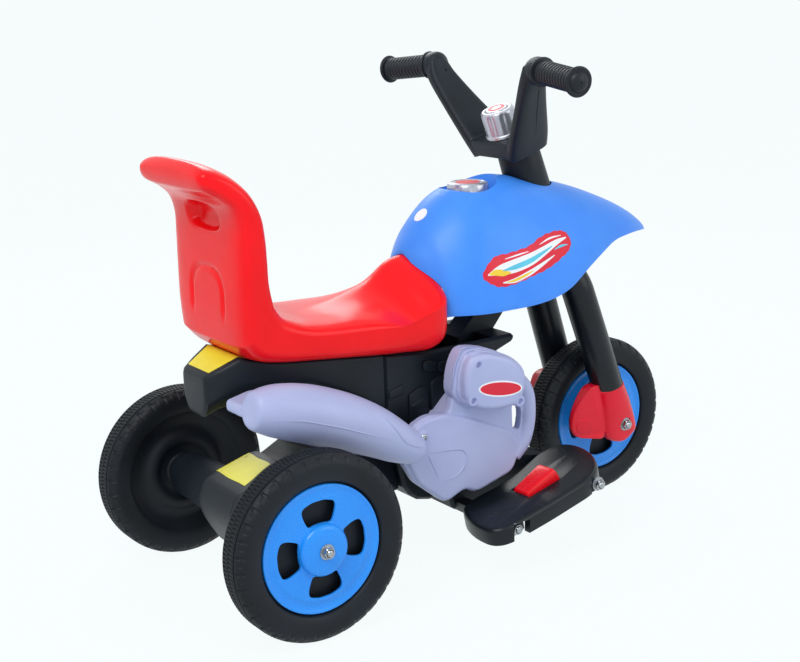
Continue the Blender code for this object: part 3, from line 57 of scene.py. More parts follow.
WHEEL_RADIUS = 0.115
REAR_X = -0.293
FRONT_X = 0.293
HALF_TRACK = 0.175
AXLE_RADIUS = 0.004
NUT_HEIGHT = 0.006
NUT_CORNER = 0.0075
WASHER = 0.0014
WASHER_RADIUS = 0.0095


def linear(shade):
    """An sRGB hex colour as the linear colour that shaders take."""
    channels = [int(shade[i:i + 2], 16) / 255 for i in (0, 2, 4)]
    return (*[c / 12.92 if c <= 0.04045 else ((c + 0.055) / 1.055) ** 2.4 for c in channels], 1)


def add(finish, kind, settings=None, links=None):
    """Adds a node: settings fill its fields and inputs, links join its inputs to other nodes' outputs."""
    node = finish.node_tree.nodes.new("ShaderNode" + kind)
    for name, value in (settings or {}).items():
        if isinstance(name, int) or name in node.inputs:
            node.inputs[name].default_value = value
        else:
            setattr(node, name, value)
    for name, source in (links or {}).items():
        finish.node_tree.links.new(source, node.inputs[name])
    return node.outputs


def blank_finish(name):
    made = bpy.data.materials.new(name)
    made.use_nodes = True
    made.node_tree.nodes.clear()
    return made


def zinc_plating():
    """Bright zinc on steel: a cool, fairly sharp gloss, dulled in cloudy patches a few millimetres wide."""
    made = blank_finish("bright_zinc_plated_steel")
    place = add(made, "TexCoord")["Object"]
    cloud = add(made, "TexNoise", {"Scale": 260, "Detail": 3}, {"Vector": place})["Fac"]
    shade = add(made, "Mix", {"data_type": "RGBA", 6: linear("B4B8BC"), 7: linear("93989E")}, {0: cloud})[2]
    rough = add(made, "MapRange", {"From Min": 0.3, "From Max": 0.7, "To Min": 0.16, "To Max": 0.34},
                {"Value": cloud})["Result"]
    # The plating's grain is about 0.05 mm; it is drawn at 0.4 mm, so that it shows.
    grain = add(made, "TexNoise", {"Scale": 2500}, {"Vector": place})["Fac"]
    bump = add(made, "Bump", {"Strength": 0.3, "Distance": 0.0001}, {"Height": grain})["Normal"]
    shader = add(made, "BsdfPrincipled", {"Metallic": 1},
                 {"Base Color": shade, "Roughness": rough, "Normal": bump})["BSDF"]
    add(made, "OutputMaterial", {}, {"Surface": shader})
    return made


zinc = zinc_plating()


def loft(rings, around=False):
    """Skins rings of equally many points; around joins the last ring to the first."""
    made = bmesh.new()
    rows = [[made.verts.new(point) for point in ring] for ring in rings]
    count = len(rows[0])
    pairs = list(zip(rows, rows[1:]))
    if around:
        pairs.append((rows[-1], rows[0]))
    for low, top in pairs:
        for i in range(count):
            j = (i + 1) % count
            made.faces.new((low[i], low[j], top[j], top[i]))
    if not around:
        made.faces.new(rows[0][::-1])
        made.faces.new(rows[-1])
    return made


def turned(profile, centre, axis, sides, around=False, reach=None):
    """Turns (along, radius) points about an axis; reach may change the radius round the turn."""
    centre, axis = Vector(centre), Vector(axis).normalized()
    first = Vector((1, 0, 0)) if abs(axis.z) > 0.9 else Vector((0, 0, 1)).cross(axis).normalized()
    second = axis.cross(first).normalized()
    first = second.cross(axis)
    turns = [2 * pi * (i + 0.5) / sides for i in range(sides)]
    ways = [first * cos(turn) + second * sin(turn) for turn in turns]
    rings = []
    for along, radius in profile:
        middle = centre + axis * along
        rings.append([middle + way * (reach(turn, along, radius) if reach else radius)
                      for turn, way in zip(turns, ways)])
    return loft(rings, around)


def piece(name, shape, finish, body, stands_for=(), sharp=35):
    """Makes a piece from a bmesh: its finish, the body that it moves with and the solids it stands for."""
    bmesh.ops.remove_doubles(shape, verts=shape.verts, dist=1e-6)
    bmesh.ops.recalc_face_normals(shape, faces=shape.faces)
    mesh = bpy.data.meshes.new(name)
    shape.to_mesh(mesh)
    shape.free()
    mesh.materials.append(finish)
    mesh.shade_smooth()
    mesh.set_sharp_from_angle(angle=radians(sharp))
    made = bpy.data.objects.new(name, mesh)
    bpy.context.scene.collection.objects.link(made)
    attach(made, body)
    if stands_for:
        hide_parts(*stands_for)
    return made


def hexagon_nut(name, base, axis, body, node):
    """The washer and the nut in one, the nut's corners cut back to a cone at both faces."""
    bore = AXLE_RADIUS + 0.0007
    top = WASHER + NUT_HEIGHT
    chamfer = 0.0009
    profile = [
        (0, bore), (0, WASHER_RADIUS - 0.0003), (0.0003, WASHER_RADIUS), (WASHER - 0.0003, WASHER_RADIUS),
        (WASHER, WASHER_RADIUS - 0.0003), (WASHER + 0.0001, 0.92 * NUT_CORNER),
        (WASHER + chamfer, NUT_CORNER),
        (top - chamfer, NUT_CORNER), (top, 0.86 * NUT_CORNER), (top, bore + 0.0005), (top - 0.0005, bore),
    ]

    def reach(turn, along, radius):
        if along <= WASHER or radius < 0.8 * NUT_CORNER:
            return radius
        return min(radius, NUT_CORNER * cos(pi / 6) / cos(turn % (pi / 3) - pi / 6))

    return piece(name, turned(profile, base, axis, 48, True, reach), zinc, body, (node,), 25)


def threaded_bar(name, start, end, radius, body, node, thread=0.012):
    """A plain bar whose ends carry a thread of 1.25 mm pitch, drawn as rings."""
    start, end = Vector(start), Vector(end)
    length = (end - start).length
    profile = [(0, radius - 0.0008)]
    crests = int(thread / 0.00125)
    for i in range(crests):
        profile += [(0.0006 + i * 0.00125, radius), (0.0012 + i * 0.00125, radius - 0.0005)]
    profile += [(length - at, size) for at, size in reversed(profile)]
    return piece(name, turned(profile, start, end - start, 24), zinc, body, (node,), 40)


def near_end(node, side):
    """Where the outermost or innermost face of a node lies across the vehicle."""
    low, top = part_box(node)
    return low.y if side < 0 else top.y


SIDES = ((-1, "right"), (1, "left"))
axle_reach = near_end("rear_axle", 1)
threaded_bar("rear_axle_bar", (REAR_X, -axle_reach, WHEEL_RADIUS), (REAR_X, axle_reach, WHEEL_RADIUS),
             AXLE_RADIUS, "chassis", "rear_axle")
for side, hand in SIDES:
    seat_y = near_end(f"rear_{hand}_axle_nut", -side)
    hexagon_nut(f"rear_{hand}_hexagon_nut", (REAR_X, seat_y, WHEEL_RADIUS), (0, side, 0), "chassis",
                f"rear_{hand}_axle_nut")


# Wheels
# Each is one blow moulding in black polyethylene, wheel and tyre together, with the tread cut into its
# mould: fine ribs across the running surface and stubby lugs on the shoulders. It is hollow, light and
# slightly dull.

RIBS = 144
POINTS_PER_RIB = 4
RIB_DEPTH = 0.0016
LUGS = 36
LUG_DEPTH = 0.002
LUG_GROOVE = 0.0013


def plastic(name, shade, deep, rough, grain, depth, swell=0.0, coat=0.0, ior=1.4):
    """A moulded plastic in two close shades, with a mould grain and, if blow moulded, a slow swell."""
    made = blank_finish(name)
    place = add(made, "TexCoord")["Object"]
    cloud = add(made, "TexNoise", {"Scale": 18, "Detail": 4}, {"Vector": place})["Fac"]
    share = add(made, "MapRange", {"From Min": 0.35, "From Max": 0.65}, {"Value": cloud})["Result"]
    colour = add(made, "Mix", {"data_type": "RGBA", 6: linear(shade), 7: linear(deep)}, {0: share})[2]
    fine = add(made, "TexNoise", {"Scale": 1 / grain, "Detail": 3}, {"Vector": place})["Fac"]
    dull = add(made, "MapRange", {"From Min": 0.3, "From Max": 0.7, "To Min": 0.85 * rough,
                                  "To Max": 1.15 * rough},
               {"Value": fine})["Result"]
    normal = add(made, "Bump", {"Strength": 0.6, "Distance": depth}, {"Height": fine})["Normal"]
    if swell:
        slow = add(made, "TexNoise", {"Scale": 30, "Detail": 1}, {"Vector": place})["Fac"]
        normal = add(made, "Bump", {"Strength": 0.5, "Distance": swell},
                     {"Height": slow, "Normal": normal})["Normal"]
    shader = add(made, "BsdfPrincipled", {"IOR": ior, "Coat Weight": coat, "Coat Roughness": 0.12},
                 {"Base Color": colour, "Roughness": dull, "Normal": normal})["BSDF"]
    add(made, "OutputMaterial", {}, {"Surface": shader})
    return made


# Black polyethylene: charcoal with a blue cast, a broad sheen, and a grain of about 1 mm left by the mould.
tyre_black = plastic("blow_moulded_black_polyethylene", "151A21", "0F1318", 0.5, 0.0011, 0.00012, 0.0004,
                     ior=1.33)


def tread(turn, along, radius):
    """Sinks the gaps between the tread's ribs and lugs, half a pitch apart on its two halves."""
    across = abs(along)
    shift = 0.5 if along < 0 else 0
    if radius < 0.1:
        return radius
    if 0.0008 < across < 0.0113:
        return radius - (RIB_DEPTH if (turn * RIBS / (2 * pi) + shift) % 1 < 0.5 else 0)
    if 0.015 < across < 0.0222:
        lug = (turn * LUGS / (2 * pi) + shift) % 1
        if lug < 0.19:
            return radius - LUG_DEPTH
        if lug < 0.6 and 0.0186 < across < 0.0212:
            return radius - LUG_GROOVE
    return radius


def mm(value, lengths=None):
    """Millimetres as metres, in nested rows too; lengths says how many of a row's numbers are lengths."""
    if not isinstance(value, tuple):
        return value / 1000
    return tuple(mm(entry, lengths) if isinstance(entry,
                                                  tuple) or lengths is None or place < lengths else entry
                 for place, entry in enumerate(value))


TYRE_FACE = mm((
    # from the bead to the middle of the tread: across, radius
    (17.5, 81.5), (18.8, 82.6), (20.1, 85), (21.4, 88.5), (22.4, 92.5), (22.9, 96.5), (23, 100),
    (22.8, 103), (22.1, 105.2), (21.3, 107), (20.6, 108.6), (19.2, 110.4), (18.6, 111), (17.2, 112.2),
    (15.4, 113.3), (14.2, 113.9), (13.3, 114.1), (12.9, 112.8), (12, 112.8), (11.6, 114.7), (11, 115),
    (7, 115), (1, 115), (0.7, 114.1),
))
PLATED_FACE = mm((
    # from bead to bore, with the ledge that carries the blue plate
    (15.8, 81), (13.4, 80), (12.5, 79.3), (12.5, 75.7), (11.5, 75), (5.5, 70.8), (4, 69), (4, 21.5),
    (5, 20.3), (12.5, 20), (12.5, 4.6),
))
DISHED_FACE = mm((
    # the inner face of a rear wheel: a dish with a swollen ring halfway in
    (16, 80.2), (14, 77.5), (11.2, 73), (8.6, 69), (7.2, 65), (6.8, 60.5), (7.4, 57), (9, 53.8),
    (10.8, 50.8), (11.8, 47.5), (12, 44), (11.2, 40.8), (9.4, 38), (6.8, 35.5), (4.8, 32.5), (4, 29),
    (4, 23), (5.5, 20.8), (21.5, 20.3), (22.8, 19.5), (23, 18.5), (23, 4.6),
))


def moulded_wheel(name, centre, outward, inner_face, body):
    """A wheel whose solid has the same name as its body."""
    outer = [(across, radius) for across, radius in PLATED_FACE[::-1] + TYRE_FACE]
    inner = [(-across, radius) for across, radius in TYRE_FACE[::-1] + inner_face]
    shape = turned(outer + inner, centre, (0, outward, 0), RIBS * POINTS_PER_RIB, True, tread)
    return piece(name, shape, tyre_black, body, (body,), 28)


for side, hand in SIDES:
    centre = (REAR_X, side * HALF_TRACK, WHEEL_RADIUS)
    moulded_wheel(f"rear_{hand}_moulded_wheel", centre, side, DISHED_FACE, f"rear_{hand}_wheel")
moulded_wheel("front_moulded_wheel", (FRONT_X, 0, WHEEL_RADIUS), -1, PLATED_FACE, "front_wheel")


# Hub plates
# Blue injection moulded ABS discs with four windows, a raised rim and a domed hub, clipped to the wheel's
# ledge. The window edges are thin and catch the light.

PLATE_PROFILE = mm((
    # from the bore at the back, round the raised rim and over the domed hub: across, radius
    (12.8, 4.6), (12.8, 78.5), (16, 78.5), (16.6, 78.1), (16.8, 77.3), (16.7, 76.1), (16, 74.9),
    (15.2, 72.5), (15, 70.5), (15, 65), (15.5, 64.2), (15.6, 62), (15.9, 40), (16.1, 33.5), (17, 32.2),
    (20.2, 31.6), (22.8, 30.3), (24.4, 28), (25.2, 25), (25.6, 20), (25.8, 11.5), (26, 10.5), (26, 4.6),
))

# Glossy ABS: a clean bright blue with small sharp highlights.
rim_blue = plastic("glossy_blue_abs", "2492F2", "208CEE", 0.26, 0.002, 0.00003, 0.0, 0.15)


def reshaped(shape, *steps):
    """Runs a bmesh through modifiers, each given as its kind and settings, and gives back a new bmesh."""
    bmesh.ops.remove_doubles(shape, verts=shape.verts, dist=1e-6)
    bmesh.ops.recalc_face_normals(shape, faces=shape.faces)
    mesh = bpy.data.meshes.new("working")
    shape.to_mesh(mesh)
    shape.free()
    held = bpy.data.objects.new("working", mesh)
    bpy.context.scene.collection.objects.link(held)
    for kind, settings in steps:
        step = held.modifiers.new(kind, kind)
        for field, value in settings.items():
            setattr(step, field, value)
    graph = bpy.context.evaluated_depsgraph_get()
    result = bpy.data.meshes.new_from_object(held.evaluated_get(graph))
    made = bmesh.new()
    made.from_mesh(result)
    bpy.data.objects.remove(held)
    bpy.data.meshes.remove(mesh)
    bpy.data.meshes.remove(result)
    return made


def cut(shape, *tools, operation="DIFFERENCE"):
    """Cuts closed shapes out of another, or joins them to it."""
    for tool in tools:
        bmesh.ops.recalc_face_normals(tool, faces=tool.faces)
        mesh = bpy.data.meshes.new("tool")
        tool.to_mesh(mesh)
        tool.free()
        other = bpy.data.objects.new("tool", mesh)
        bpy.context.scene.collection.objects.link(other)
        shape = reshaped(shape, ("BOOLEAN", {"operation": operation, "solver": "EXACT", "object": other}))
        bpy.data.objects.remove(other)
        bpy.data.meshes.remove(mesh)
    return shape


def eased(shape, width, segments=2, sharper=50):
    """Rounds the edges of a shape that are sharper than an angle."""
    return reshaped(shape, ("BEVEL", {"width": width, "segments": segments, "limit_method": "ANGLE",
                                      "angle_limit": radians(sharper), "use_clamp_overlap": True}))


def rounded(outline, radius, steps=4):
    """A closed outline with its corners bent round; a corner takes at most half of either side."""
    made = []
    count = len(outline)
    for i, point in enumerate(outline):
        here = Vector(point)
        before, after = Vector(outline[i - 1]) - here, Vector(outline[(i + 1) % count]) - here
        start = here + before * min(radius / before.length, 0.49)
        end = here + after * min(radius / after.length, 0.49)
        for k in range(steps + 1):
            share = k / steps
            made.append(start * (1 - share) ** 2 + here * 2 * share * (1 - share) + end * share ** 2)
    return made


def plate_window(index, centre, outward):
    """The cutter of one window: a curved trapezoid."""
    middle = pi / 2 * index - radians(2.5)
    spans = mm(((33.6, 27.5), (39, 28), (48, 27), (56, 24.5), (59.2, 20)), 1)
    corners = [(radius, middle - radians(half)) for radius, half in spans]
    corners += [(0.0602, middle - radians(8)), (0.0602, middle + radians(8))]
    corners += [(radius, middle + radians(half)) for radius, half in reversed(spans)]
    corners += [(0.0322, middle + radians(10)), (0.0322, middle - radians(10))]
    outline = rounded([(radius * sin(turn), radius * cos(turn)) for radius, turn in corners], 0.004)
    return loft([[Vector((centre[0] + u, centre[1] + outward * depth, centre[2] + v)) for u, v in outline]
                 for depth in (0.008, 0.022)])


def hub_plate(name, centre, outward, body, node):
    shape = turned(PLATE_PROFILE, centre, (0, outward, 0), 120, True)
    shape = cut(shape, *[plate_window(i, centre, outward) for i in range(4)])
    return piece(name, eased(shape, 0.0007, 2, 60), rim_blue, body, (node,), 40)


for side, hand in SIDES:
    centre = (REAR_X, side * HALF_TRACK, WHEEL_RADIUS)
    hub_plate(f"rear_{hand}_blue_plate", centre, side, f"rear_{hand}_wheel", f"rear_{hand}_hub_plate")
for side, hand in SIDES:
    centre = (FRONT_X, 0, WHEEL_RADIUS)
    hub_plate(f"front_{hand}_blue_plate", centre, side, "front_wheel", f"front_{hand}_hub_plate")


# Gearbox and axle tube
# Two black polypropylene mouldings around the axle: the case with the motor and gears on the right, and a
# lid with the long tube on the left. They meet in a fine seam, and a yellow paper label is stuck over the
# top.

GEARBOX_SIDE = mm((
    (-25, 40.6), (-41.5, 34), (-49.5, 12), (-46.5, -6), (-37, -25), (-21, -51.5), (-4, -59), (15, -60),
    (34, -52), (47, -34), (52, -10), (50, 20), (46, 45), (39, 56.5), (26, 55),
))

# Black polypropylene from an etched mould: blue-black, satin, with a grain of about 0.8 mm.
satin_black = plastic("etched_black_polypropylene", "171E27", "11171E", 0.44, 0.0008, 0.00012, ior=1.33)


def side_view(u, v, depth):
    return Vector((REAR_X + u, depth, WHEEL_RADIUS + v))


def flowing(rows, steps, closed=False):
    """Rows of numbers with smooth rows in between (Catmull and Rom's curve)."""
    made = []
    count = len(rows)
    for i in range(count if closed else count - 1):
        around = [rows[(i + k) % count] if closed else rows[min(max(i + k, 0), count - 1)]
                  for k in (-1, 0, 1, 2)]
        for step in range(steps):
            t = step / steps
            made.append(tuple(
                0.5 * (2 * b + (c - a) * t + (2 * a - 5 * b + 4 * c - d) * t * t
                       + (3 * b - a - 3 * c + d) * t ** 3)
                for a, b, c, d in zip(*around)))
    if not closed:
        made.append(tuple(rows[-1]))
    return made


def gearbox_ring(y, share):
    return [side_view(u * share, v * share, y) for u, v in gearbox_side]


gearbox_side = rounded(GEARBOX_SIDE, 0.009, 6)
case_rings = mm(((-148, 0.93), (-147.2, 0.965), (-145.5, 0.99), (-143, 1), (-60, 1), (-59.7, 0.992),
                 (-58.5, 0.992), (-58.2, 1), (19.2, 1), (19.6, 0.985)), 1)
lid_rings = mm(((19.6, 0.985), (20.3, 1), (24.5, 0.998), (28, 0.975), (31, 0.935), (34, 0.88),
                (36.5, 0.815), (38.3, 0.745), (38.6, 0.6)), 1)
gear_case = loft([gearbox_ring(*row) for row in case_rings])
gear_lid = loft([gearbox_ring(*row) for row in lid_rings])
tube = turned(mm(((0, 34), (8, 33.2), (20, 32.5), (120.5, 30.2), (122, 29))),
              (REAR_X, 0.026, WHEEL_RADIUS), (0, 1, 0), 64)


def joined(first, *others):
    """Puts several bmeshes into one."""
    for other in others:
        held = bpy.data.meshes.new("held")
        other.to_mesh(held)
        other.free()
        first.from_mesh(held)
        bpy.data.meshes.remove(held)
    return first


def skin_of(*shapes):
    """What a label is laid on: the surfaces of some shapes, facing outwards."""
    made = []
    for shape in shapes:
        bmesh.ops.recalc_face_normals(shape, faces=shape.faces)
        shape.normal_update()
        made.append(BVHTree.FromBMesh(shape))
    return made


gear_lid = joined(gear_lid, tube)
gearbox_skin = skin_of(gear_case, gear_lid)
piece("gear_case", gear_case, satin_black, "chassis", ("gearbox_housing",), 30)
piece("gear_lid_and_tube", gear_lid, satin_black, "chassis", ("axle_tube",), 30)


def printed_label(name, shade, deep):
    """Coated paper or vinyl film: one ink with faint mottling under a soft gloss."""
    return plastic(name, shade, deep, 0.38, 0.0006, 0.00003, 0.001)


yellow_paper = printed_label("yellow_varnished_paper", "F0EA3C", "E6DC30")


def laid(skins, point, way, lift):
    """Drops a point along a way onto the nearest of some surfaces, and lifts it off along the normal."""
    found = [skin.ray_cast(point, way) for skin in skins]
    found = [hit for hit in found if hit[0] is not None]
    if not found:
        return point
    place, normal = min(found, key=lambda hit: hit[3])[:2]
    if normal.dot(way) > 0:
        normal = -normal
    return place + normal * lift


def sticker(name, grid, skins, way, thick, finish, body):
    """A thin closed sheet laid on a surface: grid is rows of points, dropped along a way."""
    way = Vector(way).normalized()
    rows, columns = len(grid), len(grid[0])
    made = bmesh.new()
    layers = []
    for lift in (0.00002, thick):
        layers.append([[made.verts.new(laid(skins, Vector(p), way, lift)) for p in row] for row in grid])
    for layer, turn in zip(layers, (1, -1)):
        for i in range(rows - 1):
            for j in range(columns - 1):
                face = (layer[i][j], layer[i][j + 1], layer[i + 1][j + 1], layer[i + 1][j])
                made.faces.new(face[::turn])
    rim = [(0, j) for j in range(columns)] + [(i, columns - 1) for i in range(1, rows)]
    rim += [(rows - 1, j) for j in range(columns - 2, -1, -1)] + [(i, 0) for i in range(rows - 2, 0, -1)]
    for (a, b), (c, d) in zip(rim, rim[1:] + rim[:1]):
        made.faces.new((layers[0][a][b], layers[1][a][b], layers[1][c][d], layers[0][c][d]))
    return piece(name, made, finish, body, (), 50)


def between_corners(corners, rows, columns, wave=0.0):
    """A grid of points between four corners, its edges a little wavy as a hand-cut label's are."""
    a, b, c, d = [Vector(corner) for corner in corners]
    grid = []
    for i in range(rows + 1):
        s = i / rows
        line = []
        for j in range(columns + 1):
            t = j / columns
            point = a.lerp(b, t).lerp(d.lerp(c, t), s)
            ripple = wave * (sin(9 * t + 2) * (s in (0, 1)) + sin(8 * s + 1) * (t in (0, 1)))
            line.append(point + Vector((ripple, ripple, 0)))
        grid.append(line)
    return grid


label_corners = [(REAR_X - 0.0213, 0.028, 0.25), (REAR_X + 0.0258, 0.028, 0.25),
                 (REAR_X + 0.0258, -0.03, 0.25),
                 (REAR_X - 0.0213, -0.048, 0.25)]
sticker("gearbox_label", between_corners(label_corners, 36, 30, 0.0006), gearbox_skin, (0, 0, -1), 0.0005,
        yellow_paper,
        "chassis")


# Rear bracket, tail housing and engine block
# Black polypropylene mouldings that carry everything: the bracket ties the gearbox to both housings, and
# the seat is screwed down on them. Their sides have raised blocks, lumps and ribs that stand for an
# engine.

HOUSING_HALF = 0.062
bracket_side = rounded(mm(((45, -20), (195.5, -16.4), (204.2, -15), (204.2, -10.6), (179.6, 84.6),
                           (115, 119.6), (75, 134.6), (45, 139), (48, 120), (78, 95), (87, 70),
                           (84.2, 57.6), (59.4, 45.2), (45, 40))), 0.004, 3)


def inset(outline, amount):
    """The outline moved inwards by an amount, point by point."""
    points = [Vector(point) for point in outline]
    count = len(points)
    area = sum(points[i - 1].cross(points[i]) for i in range(count))
    turn = 1 if area > 0 else -1
    made = []
    for i, here in enumerate(points):
        before = (here - points[i - 1]).normalized()
        after = (points[(i + 1) % count] - here).normalized()
        along = before + after
        if along.length < 1e-9:
            along = after
        along.normalize()
        stretch = min(1 / max(along.dot(after), 0.6), 1.6)
        made.append(here + Vector((-along.y, along.x)) * turn * amount * stretch)
    return made


def slab(outline, place, low, top, rim, steps=4, low_rim=0.0):
    """Extrudes an outline between two depths, its rim rounded at the top and, if asked, at the bottom."""
    way = 1 if top > low else -1
    rings = []
    for size, start, turn in ((low_rim, low, -1), (rim, top, 1)):
        arc = []
        for k in range(steps + 1):
            angle = pi / 2 * k / steps
            inner = inset(outline, size * (1 - cos(angle)))
            arc.append([place(u, v, start - turn * way * size * (1 - sin(angle))) for u, v in inner])
        rings += arc[::-1] if turn < 0 else arc
    return loft(rings)


bracket = slab(bracket_side, side_view, -0.05, 0.05, 0.003, 3, 0.003)
piece("gearbox_bracket", bracket, satin_black, "chassis", ("rear_axle_bracket",), 40)


def under_seat(x):
    return 0.194 - 0.1174 * (x - 0.02)


def tail_ring(row, grow=0.0):
    x, top, low, half, chamfer = row
    half, low = half + grow, low - grow
    corners = [(-half, top + grow), (half, top + grow), (half, low + chamfer), (half * 0.66, low),
               (-half * 0.66, low), (-half, low + chamfer)]
    return [Vector((REAR_X + x, u, WHEEL_RADIUS + v)) for u, v in rounded(corners, 0.006, 4)]


tail_rows = [*mm((
    (-57, 181.5, 132, 29, 18), (-54, 183.5, 129, 31, 18), (-38, 191, 138, 40, 18),
    (-14.5, 202.2, 140, 48, 24), (-8.5, 200.3, 140, 50, 26),
)), *((x, under_seat(x) - 0.0003, low, half, chamfer) for x, low, half, chamfer in mm((
    (20, 140, 59, 28), (40, 140, 62, 27), (75, 135, 62, 23), (115, 120, 62, 20), (150, 102, 62, 18),
    (178.5, 85.5, 62, 17),
)))]
tail_rings = [tail_ring((-0.057, *tail_rows[0][1:]), -0.004),
              tail_ring((-0.0566, *tail_rows[0][1:]), -0.0012)]
tail_rings += [tail_ring(row) for row in tail_rows[1:]]
tail_rings += [tail_ring((0.1797, *tail_rows[-1][1:]), -0.0012)]
tail = loft(tail_rings)
tail_skin = skin_of(tail)
piece("tail_moulding", tail, satin_black, "chassis", ("tail_housing",), 30)
tail_label = [(REAR_X - 0.0035, 0.042, 0.4), (REAR_X - 0.0035, -0.042, 0.4),
              (REAR_X - 0.049, -0.027, 0.4),
              (REAR_X - 0.049, 0.027, 0.4)]
sticker("tail_label", between_corners(tail_label, 30, 30), tail_skin, (0, 0, -1), 0.0005, yellow_paper,
        "chassis")


def dress(finish, *nodes):
    """Gives solids that stay in view their finish."""
    for name in nodes:
        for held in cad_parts[name].material_slots:
            held.material = finish


dress(satin_black, "engine_block")

BLOCK_RELIEF = mm((
    # outline on the block's side, and how far it stands out of it
    (((238, 155.5), (250, 155), (259, 150), (259, 140.5), (250, 139.5), (238, 144)), 4),
    (((262, 150.5), (274, 150.5), (287, 145), (287, 133), (274, 132.2), (262, 138)), 4),
    (((215, 115), (233, 122.8), (245, 121), (245, 70), (215, 70)), 3),
    (((249, 126.2), (261, 131), (273, 129), (274, 74), (249, 74)), 4.5),
    (((217, 101), (233, 108), (243, 106), (243, 96), (217, 96)), 4.5),
    (((185, 125), (208, 131), (208, 118), (185, 113)), 1.8),
))
for side, hand in SIDES:
    face = HOUSING_HALF - 0.001
    blocks = [slab(rounded(outline, 0.0035, 3), side_view, side * face, side * (face + 0.001 + out),
                   0.0014, 3)
              for outline, out in BLOCK_RELIEF]
    piece(f"{hand}_block_relief", joined(*blocks), satin_black, "chassis", (), 35)


# Inner parts
# Battery, motor, gears, bushes, sleeves and the pins that hold them: bought-in parts and small mouldings
# that stay out of sight inside the housings.

# White nylon: milky and smooth, with a soft sheen.
white_nylon = plastic("white_nylon", "ECEAE2", "E2DFD4", 0.4, 0.001, 0.00004)
# Battery case: grey ABS, fine mould grain.
battery_grey = plastic("grey_abs_case", "4E545C", "454A52", 0.48, 0.0009, 0.00008)
dress(white_nylon, "drive_gear", "motor_pinion", "lower_steering_bush", "upper_steering_bush",
      "front_right_wheel_spacer", "front_left_wheel_spacer")
dress(battery_grey, "battery")
dress(zinc, "drive_motor", "pedal_pin", "steering_rod", "steering_nut")


# Seat
# One hollow blow moulding in red polyethylene: saddle, raised nose and backrest, with a lip to lift the
# toy by. The wall follows the mould softly, so every corner is round and the surface swells a little
# between them.

SEAT_HALF = 0.091
RIDGE_ROUND = 0.01
SEAT_ROWS = mm((
    # front or upper point, rear or lower point, share of the half width, roundness above, fall of the sides
    (279, 276, 279, 195, 0.55, 3, 0.62), (276, 281, 276, 188, 0.7, 3.4, 0.62),
    (270, 284, 270, 182, 0.84, 4, 0.62), (260, 285, 260, 174, 0.955, 4.4, 0.62),
    (244, 283.5, 243, 169, 1, 4.8, 0.68), (230, 278.5, 230, 169.3, 1, 5, 0.78),
    (216, 268.5, 216, 171, 1, 5, 0.73), (200, 258, 200, 173, 1, 5, 0.55),
    (178, 250.5, 178, 175, 1, 5, 0.36), (145, 242, 145, 179, 1, 5, 0.16),
    (105, 237, 105, 184, 1, 5, 0.05), (68, 237.5, 60, 189.3, 1, 5, 0), (44, 246, 20, 194, 1, 5, 0),
    (28, 256, -10, 202, 1, 5, 0), (18, 272, -29, 221, 1, 5, 0), (13, 298, -31, 255, 1, 5, 0),
    (12.2, 325, -30, 305, 1.01, 4.6, 0), (11.5, 350, -29, 340, 1.015, 4.2, 0),
    (8, 378, -29, 366, 1.01, 3.8, 0), (-4, 404, -35, 386, 0.995, 3.5, 0),
    (-23, 424.5, -48, 399, 0.975, 3.2, 0), (-44, 437.5, -59, 406, 0.95, 2.9, 0),
    (-61, 442.5, -67.5, 411, 0.92, 2.6, 0), (-71, 438, -72.5, 418, 0.885, 2.3, 0),
), 4)

# Red polyethylene, blow moulded: warm red, softly glossy, with a fine ripple and a slow swell of the wall.
seat_red = plastic("blow_moulded_red_polyethylene", "F80C16", "F20812", 0.22, 0.0016, 0.00001, 0.0009,
                   ior=1.31)


def walk_round(across, down):
    """Points round a square from -1 to 1, evenly spaced, for rings that keep their points in step."""
    made = [(1 - 2 * i / across, 1) for i in range(across)] + [(-1, 1 - 2 * i / down) for i in range(down)]
    return made + [(-p, -q) for p, q in made]


def seat_ring(row, grow=0.0):
    """A section of the seat; its upper side falls away from the middle, as on the nose."""
    front_x, front_z, rear_x, rear_z, share, roundness, fall = row
    upper, lower = side_view(front_x, front_z, 0), side_view(rear_x, rear_z, 0)
    middle, reach = (upper + lower) / 2, (upper - lower) / 2
    reach += reach.normalized() * grow
    half = SEAT_HALF * share + grow
    ring = []
    for p, q in walk_round(64, 16):
        n = roundness if q >= 0 else 5.0
        scale = (abs(p) ** n + abs(q) ** n) ** (-1 / n)
        u, v = p * scale * half, q * scale
        drop = fall * (hypot(u, RIDGE_ROUND) - RIDGE_ROUND) * max(v, 0)
        ring.append(middle + Vector((0, u, -drop)) + reach * v)
    return ring


def smooth_step(value):
    value = min(max(value, 0), 1)
    return value * value * (3 - 2 * value)


def carved(point):
    """Sinks the hand recess and the arched groove into the back of the backrest."""
    y, z = point.y, point.z - WHEEL_RADIUS
    behind = REAR_X - 0.012 - point.x
    if behind < 0 or z < 0.24:
        return point
    recess = (abs(y / 0.038) ** 3 + abs((z - 0.3715) / 0.0168) ** 3) ** (1 / 3)
    scoop = 0.55 + 0.45 * smooth_step((z - 0.354) / 0.02)
    depth = 0.015 * scoop * smooth_step((1.12 - recess) / 0.34)
    arch = (abs(y / 0.04) ** 2.6 + abs(max(z - 0.275, 0) / 0.035) ** 2.6) ** (1 / 2.6)
    groove = abs(arch - 1) * 0.038
    fade = smooth_step((z - 0.245) / 0.02)
    depth += 0.003 * smooth_step(1 - groove / 0.005) * fade
    return point + Vector((min(depth, behind * 3), 0, 0))


def end_fillet(distance, size):
    """How far a section is drawn in near the end of a moulding, for a rounded end."""
    if distance >= size:
        return 0
    gap = size - distance
    return size - (size * size - gap * gap) ** 0.5


